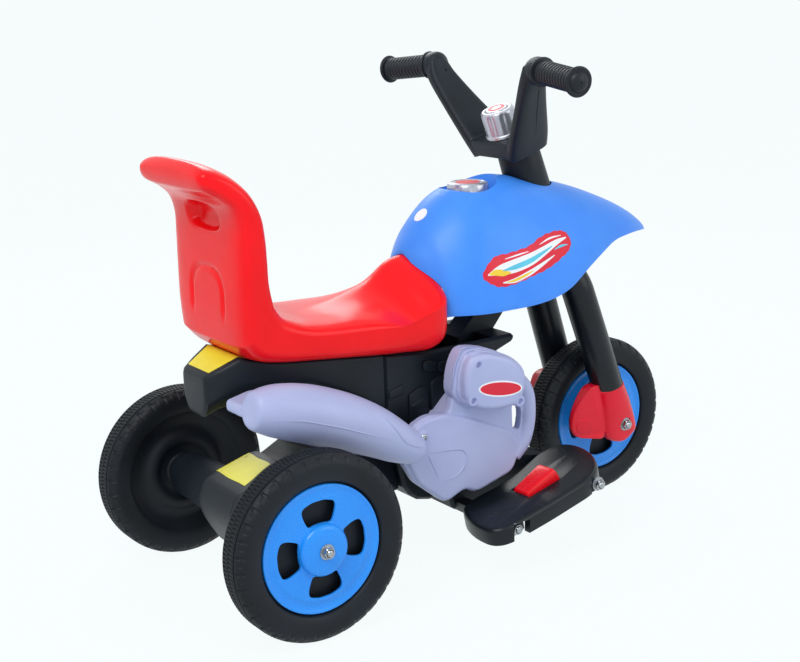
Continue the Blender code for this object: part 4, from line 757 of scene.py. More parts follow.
seat_rows = flowing(SEAT_ROWS[:15], 5)[:-1] + flowing(SEAT_ROWS[14:], 12)
middles = [(side_view(row[0], row[1], 0) + side_view(row[2], row[3], 0)) / 2 for row in seat_rows]
run = [0]
for before, after in zip(middles, middles[1:]):
    run.append(run[-1] + (after - before).length)
END_ROUND = 0.008
for extra in (0.0006, 0.002, 0.004):
    at = next(i for i in range(len(run)) if run[-1] - run[i] < extra + 0.004)
    if at + 1 < len(run):
        seat_rows.insert(at + 1, tuple((a + b) / 2 for a, b in zip(seat_rows[at], seat_rows[at + 1])))
        run.insert(at + 1, (run[at] + run[at + 1]) / 2)
seat_rings = [[carved(point) for point in seat_ring(row, -end_fillet(run[-1] - far, END_ROUND))]
              for row, far in zip(seat_rows, run)]
seat = loft(seat_rings)
piece("seat_moulding", seat, seat_red, "chassis", ("seat",), 50)


# Tank shell
# One blue polyethylene blow moulding, cut open below, that runs from the seat over the tank to the beak
# above the front wheel. It has a round well for the cap and a hole that the steering neck turns in.

TANK_HALF = 0.097
SHELL_WALL = 0.003
TANK_ROWS = mm((
    # x, top and lower edge from the rear axle and the axles' height, share of the half width, roundness
    (254, 290.5, 250, 0.3, 2), (259, 299, 230, 0.45, 2), (268, 311, 210, 0.62, 2),
    (285, 331, 210, 0.79, 2), (320, 360, 210, 0.965, 2), (360, 372.5, 210, 1, 2.05),
    (400, 375, 210, 0.99, 2.1), (438, 369, 213, 0.95, 2.1), (472, 362.5, 222, 0.9, 2.1),
    (508, 354, 242, 0.83, 2.1), (540, 344, 257, 0.745, 2.1), (574, 331, 269, 0.63, 2.1),
    (611, 315, 272, 0.505, 2), (641, 299, 271, 0.37, 2), (666, 282, 268, 0.21, 2),
    (682, 269, 264, 0.06, 2),
), 3)
CAP_AT = 0.365
WELL_FLOOR = 0.3505
WELL_RADIUS = 0.039
RAKE = radians(18.5)

# Blue polyethylene, blow moulded: a clear mid blue, softly glossy, with the same fine ripple as the seat.
shell_blue = plastic("blow_moulded_blue_polyethylene", "4591F5", "3F8BF2", 0.38, 0.0016, 0.00005, 0.0009,
                     ior=1.38)


def steer(s, y, t):
    """The point s up the steering axis from the front axle, y to the left, t ahead of the axis."""
    return Vector((FRONT_X - s * sin(RAKE) + t * cos(RAKE), y,
                   WHEEL_RADIUS + s * cos(RAKE) + t * sin(RAKE)))


up_axis = (steer(1, 0, 0) - steer(0, 0, 0)).normalized()


def power(value, exponent):
    return (abs(value) ** exponent) * (1 if value >= 0 else -1)


def arch_over(row, draw_in=0.0, sink=0.0, sides=64):
    """An arch across the vehicle, from the left lower edge over the top to the right."""
    x, top, low, share, n = row
    half = share * TANK_HALF - draw_in
    points = []
    for i in range(sides + 1):
        turn = pi * i / sides
        lift = (top - draw_in - low) * abs(sin(turn)) ** (2 / n)
        points.append(side_view(x, low + lift - (sink if i in (0, sides) else 0),
                                half * power(cos(turn), 2 / n)))
    return points


tank_rows = flowing(TANK_ROWS, 5)
tank = loft([arch_over(row) for row in tank_rows])
inside = loft([arch_over(row, SHELL_WALL, 0.02) for row in tank_rows[4:-10]])
well_at = side_view(CAP_AT, WELL_FLOOR, 0)
cup = turned([(-0.003, WELL_RADIUS + 0.003), (0.04, WELL_RADIUS + 0.003)], well_at, (0, 0, 1), 64)
well = turned([(0, WELL_RADIUS - 0.003), (0.0008, WELL_RADIUS - 0.001), (0.003, WELL_RADIUS),
               (0.06, WELL_RADIUS)],
              well_at, (0, 0, 1), 64)
stem_hole = turned([(-0.02, 0.0081), (0.02, 0.0081)], well_at, (0, 0, 1), 32)
neck_hole = turned([(0, 0.0323), (0.12, 0.0323)], steer(0.35, 0, 0), up_axis, 64)
nose_rows = flowing(SEAT_ROWS[:8], 3)
nose_rows = [(0.28, *nose_rows[0][1:2], 0.28, *nose_rows[0][3:])] + nose_rows
nose_room = loft([seat_ring(row, 0.0007) for row in nose_rows])
tank = cut(tank, cut(inside, cup), well, stem_hole, neck_hole, nose_room)
tank = eased(tank, 0.0009, 2, 55)
tank_skin = skin_of(tank)
piece("tank_moulding", tank, shell_blue, "chassis", ("tank_shell",), 40)


# Tank cap
# An injection moulded ABS knob, painted silver, with shallow finger flutes and a dished top. Its stem
# turns in the floor of the well.

# Silver paint on ABS: metal flake in clear lacquer, cool grey, a soft gloss with fine sparkle.
silver_paint = blank_finish("silver_painted_abs")
flake_at = add(silver_paint, "TexCoord")["Object"]
# Flakes are about 0.05 mm; they are drawn at 0.4 mm, so that the sparkle shows.
flake = add(silver_paint, "TexVoronoi", {"Scale": 2500}, {"Vector": flake_at})["Color"]
flake_shade = add(silver_paint, "Mix", {"data_type": "RGBA", 0: 0.1, 6: linear("B9BBC6")}, {7: flake})[2]
flake_bump = add(silver_paint, "Bump", {"Strength": 0.1, "Distance": 0.0001}, {"Height": flake})["Normal"]
paint = add(silver_paint, "BsdfPrincipled", {"Metallic": 0.65, "Roughness": 0.32, "Coat Weight": 0.5,
                                             "Coat Roughness": 0.08},
            {"Base Color": flake_shade, "Normal": flake_bump})["BSDF"]
add(silver_paint, "OutputMaterial", {}, {"Surface": paint})


def fluted(count, depth, low, top):
    """Shallow grip flutes round the outside of a knob, between two heights."""
    def reach(turn, along, radius):
        if not low < along < top or radius < 0.018:
            return radius
        fade = min((along - low) / 0.003, (top - along) / 0.002, 1)
        return radius * (1 - depth * fade * (0.5 - 0.5 * cos(count * turn)) ** 3)
    return reach


CAP_PROFILE = mm((
    # from the stem, round the foot and up to the dished top: height, radius
    (-12, 7), (-11.5, 7.5), (0, 7.5), (0, 29.6), (0.4, 30), (3.4, 30), (4, 29.6), (4.6, 28.8),
    (8, 28.4), (12, 28), (14.6, 27.5), (16.4, 26.6), (17.5, 25), (18, 23), (18, 22), (17.3, 21.2),
    (17.3, 3),
))
cap_base = side_view(CAP_AT, WELL_FLOOR + 0.0003, 0)
cap = turned(CAP_PROFILE, cap_base, (0, 0, 1), 144, False, fluted(8, 0.055, 0.0045, 0.0165))
piece("silver_tank_cap", cap, silver_paint, "tank_cap", ("tank_cap",), 40)


def disc_grid(centre, side, up, radius, squeeze=1.0, rows=12):
    """A square grid bent into a disc, so that a round label needs no point in its middle."""
    grid = []
    for i in range(rows + 1):
        line = []
        for j in range(rows + 1):
            u, v = 2 * j / rows - 1, 2 * i / rows - 1
            x, y = u * (1 - v * v / 2) ** 0.5, v * (1 - u * u / 2) ** 0.5
            line.append(Vector(centre) + Vector(side) * x * radius + Vector(up) * y * radius * squeeze)
        grid.append(line)
    return grid


# Vinyl labels: flat bright ink under a clear, smooth film.
red_vinyl = printed_label("red_vinyl_label", "E0243A", "DA1F34")
white_vinyl = printed_label("white_vinyl_label", "F4F4F6", "ECECF0")
cap_top = [BVHTree.FromObject(bpy.data.objects["silver_tank_cap"], bpy.context.evaluated_depsgraph_get())]
sticker("cap_disc", disc_grid(cap_base + Vector((0, 0, 0.03)), (1, 0, 0), (0, 1, 0), 0.017), cap_top,
        (0, 0, -1), 0.0002,
        red_vinyl, "tank_cap")
sticker("tank_dot", disc_grid(side_view(0.2664, 0.3547, 0), (0, 1, 0), (0.72, 0, 0.69), 0.0105), tank_skin,
        (0.69, 0.03, -0.72), 0.0003, white_vinyl, "chassis")


# Side decals of the tank
# Printed vinyl, die cut, one on each side: a plain red flash with streaks of white, yellow and cyan. It
# bends with the shell that it is pressed on.

yellow_vinyl = printed_label("yellow_vinyl_label", "F3D23A", "EFC832")
cyan_vinyl = printed_label("cyan_vinyl_label", "62C9E0", "55BDD8")
FLASH = mm((
    # along the flash: x, height of its middle, half width
    (320, 259, 3), (329, 261, 12), (342, 262.5, 19.5), (360, 263, 20.5), (380, 265.5, 20),
    (400, 269, 19.5), (420, 274.5, 21.5), (440, 279, 20.5), (458, 283, 17), (470, 284, 12),
    (476.5, 283.5, 3.5),
))
STREAKS = (
    # lengths in millimetres
    # finish, how far it stands out, and its own path: x, height, half width
    ("white", 0.3, ((327, 260, 0.8), (345, 264, 6), (370, 266.5, 8.5), (400, 271.5, 8), (425, 278.5, 6),
                    (450, 286, 3.5), (469, 289.5, 0.8))),
    ("cyan", 0.4, ((350, 263, 0.6), (370, 265, 3), (395, 269, 3.4), (420, 276, 2.2), (440, 282, 0.6))),
    ("yellow", 0.4, ((329, 260.5, 0.8), (338, 262, 3.6), (350, 260, 4), (362, 259, 0.8))),
    ("white", 0.3, ((348, 247.5, 0.6), (368, 248, 3), (395, 254.5, 3.4), (420, 262.5, 2.2),
                    (442, 270, 0.6))),
    ("yellow", 0.4, ((354, 247.5, 0.5), (368, 248.2, 1.6), (385, 252, 1.6), (400, 256, 0.5))),
    ("white", 0.3, ((356, 277, 0.4), (376, 279.5, 1), (396, 281.5, 0.4))),
    ("white", 0.3, ((418, 287.5, 0.4), (438, 292.5, 1.2), (460, 293.5, 0.4))),
    ("cyan", 0.3, ((443, 277, 0.4), (457, 280, 1.6), (470, 280, 0.4))),
)
inks = {"white": white_vinyl, "cyan": cyan_vinyl, "yellow": yellow_vinyl}


def flash_grid(path, side, across=4, steps=6, wobble=0.0):
    """A grid along a tapering streak, seen from the side of the tank."""
    grid = []
    for i, (x, middle, half) in enumerate(flowing(path, steps)):
        edge = half + wobble * sin(i * 1.3)
        grid.append([side_view(x, middle + edge * (2 * j / across - 1), side * 0.16)
                     for j in range(across + 1)])
    return grid


for side, hand in SIDES:
    sticker(f"{hand}_flash", flash_grid(FLASH, side, 10, 6, 0.0006), tank_skin, (0, -side, 0), 0.0002,
            red_vinyl,
            "chassis")
    for number, (ink, out, path) in enumerate(STREAKS, 1):
        sticker(f"{hand}_flash_streak_{number}", flash_grid(mm(path), side), tank_skin, (0, -side, 0),
                mm(out), inks[ink],
                "chassis")


# Engine covers
# Grey-lilac injection moulded covers, screwed to the block on both sides: a crankcase with a neck, and a
# cylinder head that stands out in steps. A pipe of the same moulding runs down in front, clear of the
# neck.

COVER_Y = 0.092
CASE_Y = 0.108
HEAD_Y = 0.133
COVER_SIDE = mm((
    (190, 86), (212, 95.5), (235, 95), (250, 92.5), (263, 143), (280, 170), (312, 167), (370, 132),
    (378, 108), (370, 72), (366, 30), (359, 5), (349, -8), (287.6, -24), (271, -14), (239, -26.5),
    (215, -7), (192, 12), (173, 45),
))
CASE_SIDE = mm((
    (195, 85), (209, 92.5), (241, 95), (262, 88), (283.4, 80), (345.9, 51.5), (364, 30), (358, 10),
    (349, -7), (288, -23), (271, -13), (239.5, -25.5), (215, -6), (195, 12), (179, 45),
))
HEAD_SIDE = mm((
    (248, 120), (252, 150), (261, 170), (270, 177.5), (290, 175), (312, 169), (351, 150), (360, 138),
    (364, 120), (354, 90), (303, 89), (270, 96),
))
HEAD_FACE = mm((
    (257.4, 114.3), (255.6, 143), (261.4, 161.4), (269.5, 170.5), (293.3, 170), (333.4, 156),
    (353, 134), (356, 119), (343.2, 91.5), (302.1, 92), (275.5, 98.5),
))
HEAD_MIDDLE = mm((307, 130))
HEAD_SCREWS = mm(((277, 158), (268, 112), (344, 96.5)))
CASE_SCREW = mm((204, 72))

# Lilac-grey polypropylene: pale, smooth and satin, with a slight pearly sheen.
lilac_grey = plastic("lilac_grey_polypropylene", "AFB4D8", "A9AED3", 0.38, 0.0014, 0.00004, 0.0004)


def swept(points, radii, sides=32):
    """A round tube along points, with a radius for each."""
    rings = []
    for i, point in enumerate(points):
        before, after = points[max(i - 1, 0)], points[min(i + 1, len(points) - 1)]
        along = (after - before).normalized()
        across = along.cross(Vector((0, 1, 0)))
        across = (across if across.length > 0.1 else along.cross(Vector((0, 0, 1)))).normalized()
        lift = across.cross(along)
        rings.append([point + (across * cos(2 * pi * k / sides) + lift * sin(2 * pi * k / sides)) * radii[i]
                      for k in range(sides)])
    return loft(rings)


def ridge_line(points, radius, steps=6):
    """A thin raised line through points, tapering at both ends."""
    line = flowing(points, steps)
    count = len(line)
    sizes = [radius * (0.25 + 0.75 * smooth_step(4 * min(i, count - 1 - i) / count)) for i in range(count)]
    return swept([Vector(point) for point in line], sizes, 10)


def softened(shape, cell, passes=3):
    """Melts overlapping closed shells into one moulded skin with soft inner and outer corners."""
    return reshaped(shape, ("REMESH", {"mode": "VOXEL", "voxel_size": cell, "use_smooth_shade": True}),
                    ("SMOOTH", {"factor": 0.5, "iterations": passes}))


def from_here(outline, centre, share, shift=(0, 0)):
    """The outline drawn in towards a point, and moved."""
    return [(centre[0] + (u - centre[0]) * share + shift[0], centre[1] + (v - centre[1]) * share + shift[1])
            for u, v in outline]


def engine_cover():
    stand = slab(mm(((235, 10), (240, 80), (300, 135), (345, 125), (340, 10))), side_view,
                 -0.0623, -0.095, 0.001, 1)
    window = slab(rounded(mm(((352.5, 50), (352, 85), (364, 86), (368, 68), (364, 47))), 0.005),
                  side_view, -0.2, -0.01, 0.0005, 1)
    plate = cut(slab(rounded(COVER_SIDE, 0.008), side_view, -COVER_Y, -0.104, 0.003, 3, 0.001), window)
    case = slab(rounded(CASE_SIDE, 0.01), side_view, -0.095, -CASE_Y, 0.0045, 5)
    head = [slab(rounded(HEAD_SIDE, 0.012), side_view, -COVER_Y, -0.113, 0.005, 4)]
    for share, u, v, depth in ((0.955, 0.0018, -0.0012, -0.118), (0.915, 0.0032, -0.0024, -0.1228)):
        step = rounded(from_here(HEAD_SIDE, HEAD_MIDDLE, share, (u, v)), 0.012)
        head.append(slab(step, side_view, -0.1, depth, 0.003, 4))
    head.append(slab(rounded(HEAD_FACE, 0.012), side_view, -0.1, -HEAD_Y, 0.007, 5))
    bosses = [turned(mm(((0, 8.5), (18.5, 7.8), (20.5, 6.6))), side_view(u, v, -0.112), (0, -1, 0), 28)
              for u, v in HEAD_SCREWS]
    route = mm(((354, 115, 100, 12.5), (370, 108, 98.5, 12.5), (379, 92, 98, 12.4), (381, 72, 98, 12.4),
                (379, 50, 98, 12.3), (371, 28, 98, 12.2), (356, 12, 97, 12)))
    route = flowing(route, 4)
    pipe = swept([side_view(x, z, -y) for x, z, y, _ in route], [size for *_, size in route])
    screw_boss = turned(mm(((0, 8), (10, 7.2), (12, 6))), side_view(*CASE_SCREW, -0.099), (0, -1, 0), 28)
    for share, shift, depth in ((1.0, 0.0, 0.113), (0.955, 0.0018, 0.118), (0.915, 0.0032, 0.1228)):
        path = from_here(HEAD_SIDE[:5], HEAD_MIDDLE, share, (shift, -shift * 0.7))
        head.append(ridge_line([side_view(u, v, -depth + 0.001) for u, v in path], 0.0012))
    shape = softened(joined(plate, stand, case, *head, *bosses, pipe, screw_boss), 0.0011, 1)
    dimples = [turned(mm(((0, 3.4), (6, 5), (12, 5.2))), side_view(u, v, -0.1282), (0, -1, 0), 24)
               for u, v in HEAD_SCREWS]
    return eased(cut(shape, *dimples), 0.0006, 2, 60)


def on_case(x, z, out=0.0002):
    return side_view(x, z, -CASE_Y - out)


def on_side(shape, side):
    """A shape made for the right, mirrored if it is for the left."""
    if side < 0:
        return shape
    bmesh.ops.transform(shape, matrix=Matrix.Scale(-1, 4, (0, 1, 0)), verts=shape.verts)
    bmesh.ops.reverse_faces(shape, faces=shape.faces)
    return shape


def screw_head(centre, radius):
    """A pan head with a cross recess, seen from the side of the vehicle."""
    profile = [(-0.004, radius), (0.0004, radius), (0.0012, radius * 0.86), (0.0017, radius * 0.55),
               (0.0018, radius * 0.2)]
    head = turned(profile, centre, (0, -1, 0), 32)
    u, v = centre.x - REAR_X, centre.z - WHEEL_RADIUS
    bars = [slab([(u - a, v - b), (u + a, v - b), (u + a, v + b), (u - a, v + b)], side_view,
                 centre.y - 0.003, centre.y - 0.0009, 0.0, 1)
            for a, b in ((radius * 0.62, radius * 0.16), (radius * 0.16, radius * 0.62))]
    return cut(head, *bars)


CASE_LINES = mm((
    # the path in x and height, and the line's radius
    (((213.7, 49), (229.2, 46.2), (243, 46.2), (255.6, 44.1), (266, 41), (272.4, 32), (270, 22.5),
      (259.9, 11), (248, 6.2), (235.8, 5)), 1.1),
    (((211, 47.2), (215, 37), (220, 26.5), (226.7, 10.1)), 0.7),
))
for side, hand in SIDES:
    lines = [ridge_line([on_case(x, z) for x, z in path], size) for path, size in CASE_LINES]
    cover = on_side(joined(engine_cover(), *lines), side)
    screws = on_side(screw_head(side_view(*CASE_SCREW, -0.1112), 0.0042), side)
    badge_at = side_view(0.3109, 0.1203, side * 0.16)
    skin = skin_of(cover)
    piece(f"{hand}_lilac_cover", cover, lilac_grey, "chassis", (f"{hand}_engine_cover",), 50)
    piece(f"{hand}_cover_screws", screws, zinc, "chassis", (), 30)
    for word, size, squeeze, out, ink in (("badge_rim", 0.036, 0.3, 0.00025, white_vinyl),
                                          ("badge", 0.0335, 0.255, 0.00045, red_vinyl)):
        oval = disc_grid(badge_at, (0.985, 0, -0.17), (0.17, 0, 0.985), size, squeeze)
        sticker(f"{hand}_{word}", oval, skin, (0, -side, 0), out, ink, "chassis")


# Silencer
# A drooping lilac-grey blow moulding on the right, with its parting line halfway up. Its front end laps
# over the engine cover, and a flat ear screws it to the housing.

MUFFLER_Y = 0.116
MUFFLER_ROWS = mm((
    (-44.5, 159, 20), (-37, 157.5, 24.5), (-15, 153, 31), (15, 145, 34.6), (45, 134.5, 36),
    (85, 118, 35.3), (123, 99, 32), (154, 80, 27.4), (176, 67, 22.3), (188, 60, 18), (195, 56, 10.1),
))
muffler_rows = [(x, z, size - end_fillet(x - MUFFLER_ROWS[0][0], 0.004))
                for x, z, size in flowing(MUFFLER_ROWS, 5)]
muffler = swept([side_view(x, z, -MUFFLER_Y) for x, z, _ in muffler_rows],
                [size for *_, size in muffler_rows], 64)
ear_side = mm(((-47, 160), (-47, 146.5), (-30, 142), (30, 145), (75, 140), (75, 150), (40, 159),
               (0, 165), (-16, 166.5)))
ear = slab(rounded(ear_side, 0.005), side_view, -0.096, -0.0623, 0.002, 3, 0.001)


def box(low, top):
    corners = ((low[0], low[1]), (top[0], low[1]), (top[0], top[1]), (low[0], top[1]))
    return loft([[Vector((x, y, z)) for x, y in corners] for z in (low[2], top[2])])


# Where the silencer laps over the engine cover, its back is cut flat.
lap = box((REAR_X + 0.158, -0.1085, 0.1), (REAR_X + 0.23, 0, 0.35))
muffler = cut(softened(joined(muffler, ear), 0.0013, 3), lap)
muffler_skin = skin_of(muffler)
SEAMS = mm((
    # the path in x and height, and the line's radius
    (((-30, 150), (5, 144), (32, 135), (58.1, 125.3), (90.3, 111.2), (123.4, 96.8)), 0.9),
    (((120, 129), (127.4, 120), (136.1, 109), (152.4, 86.3), (170, 75), (186, 69)), 1),
))
seams = []
for path, size in SEAMS:
    points = [laid(muffler_skin, side_view(x, z, -0.2), Vector((0, 1, 0)), 0.0001)
              for x, z in flowing(path, 5)]
    seams.append(ridge_line(points, size, 1))
piece("lilac_silencer", joined(muffler, *seams), lilac_grey, "chassis", ("right_muffler",),
      50)


# Footrests and their rods
# Black polypropylene mouldings, hollow below, on two plated rods that run across under the engine block.
# Their tops have a short raised line at the rear outer corner and small anti-slip marks at the front.

REAR_ROD = (0.2948, -0.0528)
FRONT_ROD = (0.4357, -0.0253)
ROD_END = 0.188
TOE_IN = radians(4.5)
REST_TOP = 0.016
FOOTREST_EDGE = mm((
    (-40, -15), (-32, -2), (-17, 4.5), (50, 7), (125, 6), (150, -3), (168, -18), (185, -43), (193, -70),
    (191, -93), (178, -109), (150, -112), (120, -105), (85, -95.5), (50, -93), (10, -96), (-15, -92),
    (-29, -72), (-38, -45),
))
ANTI_SLIP = mm((
    # where each mark stands on the top, and its turn in degrees
    (150, -40, 35), (156.5, -51, 28), (163, -61, 18), (167, -73, 5), (169, -84, -10), (164, -94, -30),
), 2)
PEDAL_AT = (0.051, -0.048)
PEDAL_SIZE = (0.057, 0.035)

# Glossier black polypropylene: polished mould, blue-black with a broad soft highlight.
polished_black = plastic("polished_black_polypropylene", "131920", "0E1318", 0.32, 0.0012, 0.00005,
                         ior=1.35)

rest_origin = side_view(*REAR_ROD, -ROD_END)
climb = atan2(FRONT_ROD[1] - REAR_ROD[1], FRONT_ROD[0] - REAR_ROD[0])
rest_along = Vector((cos(TOE_IN) * cos(climb), sin(TOE_IN) * cos(climb), sin(climb)))
rest_out = Vector((sin(TOE_IN), -cos(TOE_IN), 0))
rest_up = rest_out.cross(rest_along)


def on_rest(u, v, lift):
    return rest_origin + rest_along * u + rest_out * v + rest_up * lift


def rest_box(u, v, lift):
    """A box in the footrest's own directions, each given as its two ends."""
    corners = ((u[0], v[0]), (u[1], v[0]), (u[1], v[1]), (u[0], v[1]))
    return loft([[on_rest(a, b, height) for a, b in corners] for height in lift])


def footrest(with_pedal):
    edge = rounded(FOOTREST_EDGE, 0.014, 6)
    shape = slab(edge, on_rest, -0.008, REST_TOP, 0.006, 6, 0.001)
    hollow = slab(rounded(inset(FOOTREST_EDGE, 0.011), 0.01, 3), on_rest, -0.02, REST_TOP - 0.0035,
                  0.001, 1)
    # The wall behind the notch that takes the rear rod's nut.
    back = rest_box((-0.016, 0.016), (-0.0146, -0.0098), (-0.0078, 0.013))
    arms = []
    for rod in (side_view(*REAR_ROD, 0), side_view(*FRONT_ROD, 0)):
        arms.append(eased(box((rod.x - 0.01, -0.108, rod.z - 0.0065),
                              (rod.x + 0.01, -HOUSING_HALF - 0.0003, rod.z + 0.0065)), 0.0015, 2))
    shape = cut(cut(shape, hollow), back, *arms, operation="UNION")
    shape = eased(shape, 0.0008, 2, 60)
    tools = []
    for place in (REAR_ROD, FRONT_ROD):
        end = side_view(*place, -ROD_END)
        tools.append(turned([(0, 0.0044), (0.25, 0.0044)], side_view(*place, -0.27), (0, 1, 0), 24))
        tools.append(box((end.x - 0.013, -0.25, end.z - 0.05),
                         (end.x + 0.013, -ROD_END + 0.0099, end.z + 0.013)))
    if with_pedal:
        (u, v), (long, wide) = PEDAL_AT, PEDAL_SIZE
        tools.append(rest_box((u - 0.001, u + long + 0.001), (v - wide / 2 - 0.001, v + wide / 2 + 0.001),
                              (-0.004, 0.036)))
    shape = cut(shape, *tools)
    rail = mm(((-8, -48), (-6.1, -41.5), (1, -34.8), (15.4, -31), (27, -26.8)))
    extras = [ridge_line([on_rest(u, v, REST_TOP - 0.0001) for u, v in rail], 0.0008)]
    for u, v, turn in ANTI_SLIP:
        a, b = 0.0042 * sin(radians(turn)), 0.0042 * cos(radians(turn))
        mark = ((u - a, v - b), (u + 0.0012, v), (u + a, v + b))
        extras.append(ridge_line([on_rest(*place, REST_TOP - 0.0001) for place in mark], 0.0007, 4))
    return eased(shape, 0.0006, 2, 60), extras


for side, hand in SIDES:
    rest, extras = footrest(side < 0)
    rest = on_side(joined(rest, *extras), side)
    piece(f"{hand}_footrest_moulding", rest, polished_black, "chassis",
          (f"{hand}_footrest",), 40)
for word, place in (("rear", REAR_ROD), ("front", FRONT_ROD)):
    ends = [side_view(*place, side * (ROD_END + 0.0003)) for side in (-1, 1)]
    threaded_bar(f"{word}_foot_bar", *ends, AXLE_RADIUS, "chassis", f"{word}_foot_rod", 0.016)
    for side, hand in SIDES:
        node = f"{word}_rod_{hand}_nut"
        hexagon_nut(f"{word}_{hand}_rod_nut", side_view(*place, near_end(node, -side)), (0, side, 0),
                    "chassis", node)


# Drive pedal
# A red injection moulded wedge in a pocket of the right footrest, with broad facets and soft edges. It
# hinges on a pin at its rear and works the switch below.

# Red ABS: glossy, a little deeper than the seat.
pedal_red = plastic("glossy_red_abs", "F20A1E", "EA0818", 0.26, 0.002, 0.00003, ior=1.36)
long, wide = PEDAL_SIZE
pedal_rows = mm((
    # along, lower and upper height, half width at the bottom and at the top
    (0, 7, 17.5, 13, 11.8), (1.2, 7, 19.6, 14.2, 12.6), (6, 7, 21.2, 14.6, 12.8),
    (28, 7.4, 26.6, 15.8, 13.6), (44, 8, 30.4, 16.7, 14.2), (49, 8.4, 31.6, 17, 14.4),
    (52.2, 8.8, 30.8, 17.2, 14.6), (55.8, 9.6, 24, 17.4, 15.2), (57, 10, 20, 16.6, 15.2),
))
pedal_rings = []
for u, low, top, half_low, half_top in pedal_rows:
    shoulder = low + (top - low) * 0.8
    corners = [(-half_low, low), (half_low, low), (half_low, shoulder - 0.003), (half_top, top),
               (-half_top, top), (-half_low, shoulder - 0.003)]
    pedal_rings.append([on_rest(PEDAL_AT[0] + u, PEDAL_AT[1] + v, lift)
                        for v, lift in rounded(corners, 0.003, 4)])
piece("red_pedal", loft(pedal_rings), pedal_red, "drive_pedal", ("drive_pedal",), 28)


# Fork and its red feet
# The fork is one thick black polyethylene tube, bent round at the top. Each leg ends in a red ABS foot
# that is plugged into it, carries the axle and hides its nut's seat; a flap with a round boss covers the
# leg behind.

LEG_RADIUS = 0.0226
LEG_SPREAD = 0.046
FOOT_SPREAD = 0.053
SHOULDER = 0.209
LEG_FOOT = 0.06
foot_red = plastic("glossy_red_abs_foot", "E40C2A", "DB0925", 0.32, 0.002, 0.00003, 0.0, 0.05)

crown = SHOULDER + LEG_SPREAD
route = [(LEG_FOOT + 0.0002, -FOOT_SPREAD), (LEG_FOOT + 0.0012, -FOOT_SPREAD)]
route += [(SHOULDER + LEG_SPREAD * sin(radians(a)), -LEG_SPREAD * cos(radians(a)))
          for a in range(0, 181, 6)]
route += [(LEG_FOOT + 0.0012, FOOT_SPREAD), (LEG_FOOT + 0.0002, FOOT_SPREAD)]
fork_rings = []
for i, (s, y) in enumerate(route):
    before, after = route[max(i - 1, 0)], route[min(i + 1, len(route) - 1)]
    length = hypot(after[0] - before[0], after[1] - before[1])
    up, over = (after[0] - before[0]) / length, (after[1] - before[1]) / length
    radius = LEG_RADIUS - (0.001 if i in (0, len(route) - 1) else 0)
    fork_rings.append([steer(s + over * radius * cos(turn), y - up * radius * cos(turn), radius * sin(turn))
                       for turn in (2 * pi * k / 48 for k in range(48))])
rod_hole = turned([(0, 0.0083), (0.1, 0.0083)], steer(crown - 0.05, 0, 0), up_axis, 32)
piece("fork_tube", cut(loft(fork_rings), rod_hole), polished_black, "steering",
      ("fork",), 40)


def wheel_view(u, v, depth):
    return Vector((FRONT_X + u, depth, WHEEL_RADIUS + v))


def fork_foot():
    """Loft down the leg: round in the collar, then wider and flatter towards the axle."""
    rows = mm((
        # height in the wheel's view, rear and front edge, inner and outer side, roundness
        (60, -42, 5, 31, 75.2, 2), (56, -42.2, 5.6, 31, 75.5, 2), (40, -38, 11.2, 36, 75.2, 2.2),
        (20, -34, 18, 41.5, 74, 2.5), (5, -31.5, 22.8, 44, 72.2, 2.8), (-8, -29.5, 26.6, 44, 70.4, 3),
        (-17, -25.5, 26.8, 44, 69.5, 3), (-23.5, -17, 16, 44, 69, 3), (-26.2, -9, 6, 44.5, 68.5, 2.6),
    ), 5)
    rings = []
    for v, rear, front, inner, outer, n in flowing(rows, 3):
        slope = -0.18 if v > -0.004 else -0.18 + (v + 0.004) * 6
        ring = []
        for k in range(48):
            turn = 2 * pi * k / 48
            u = (rear + front) / 2 + (front - rear) / 2 * power(cos(turn), 2 / n)
            y = (inner + outer) / 2 + (outer - inner) / 2 * power(sin(turn), 2 / n)
            ring.append(wheel_view(u, v + (u + 0.01) * slope * -1 * (1 if v > 0.03 else 0.4), -y))
        rings.append(ring)
    tube_part = loft(rings)
    flap_side = rounded(mm(((-30, 64), (-57, 65), (-70, 51), (-81.5, 31.2), (-85, 10), (-80, -4),
                            (-72, -11), (-31, -18))), 0.01)

    def on_flap(u, v, depth):
        """The flap's outer face slopes in from its fold at the leg to a thin rear edge."""
        share = min(max((-0.0439 - 0.281 * (v + 0.0135) - u) / 0.035, 0), 1)
        return wheel_view(u, v, depth + (0.012 * share if depth < -0.05 else 0))

    flap = slab(flap_side, on_flap, -0.0445, -0.0615, 0.0012, 3, 0.0005)
    boss = turned(mm(((0, 12.2), (1.6, 12), (2.2, 11.2), (2.4, 10))),
                  wheel_view(-0.066, 0.007, -0.054), (-0.32, -0.94, -0.09), 40)
    axle_boss = turned([(0, 0.0125), (0.012, 0.0115), (0.0128, 0.0105)], wheel_view(0, 0, -0.0565),
                       (0, -1, 0), 36)
    shape = softened(joined(tube_part, flap, axle_boss), 0.0009, 2)
    nut_seat = turned([(0, 0.0102), (0.008, 0.0104)], wheel_view(0, 0, -0.0693), (0, -1, 0), 36)
    axle_hole = turned([(0, 0.0044), (0.08, 0.0044)], wheel_view(0, 0, -0.1), (0, 1, 0), 24)
    shape = cut(shape, nut_seat, axle_hole)
    return joined(eased(shape, 0.0005, 2, 60), boss)


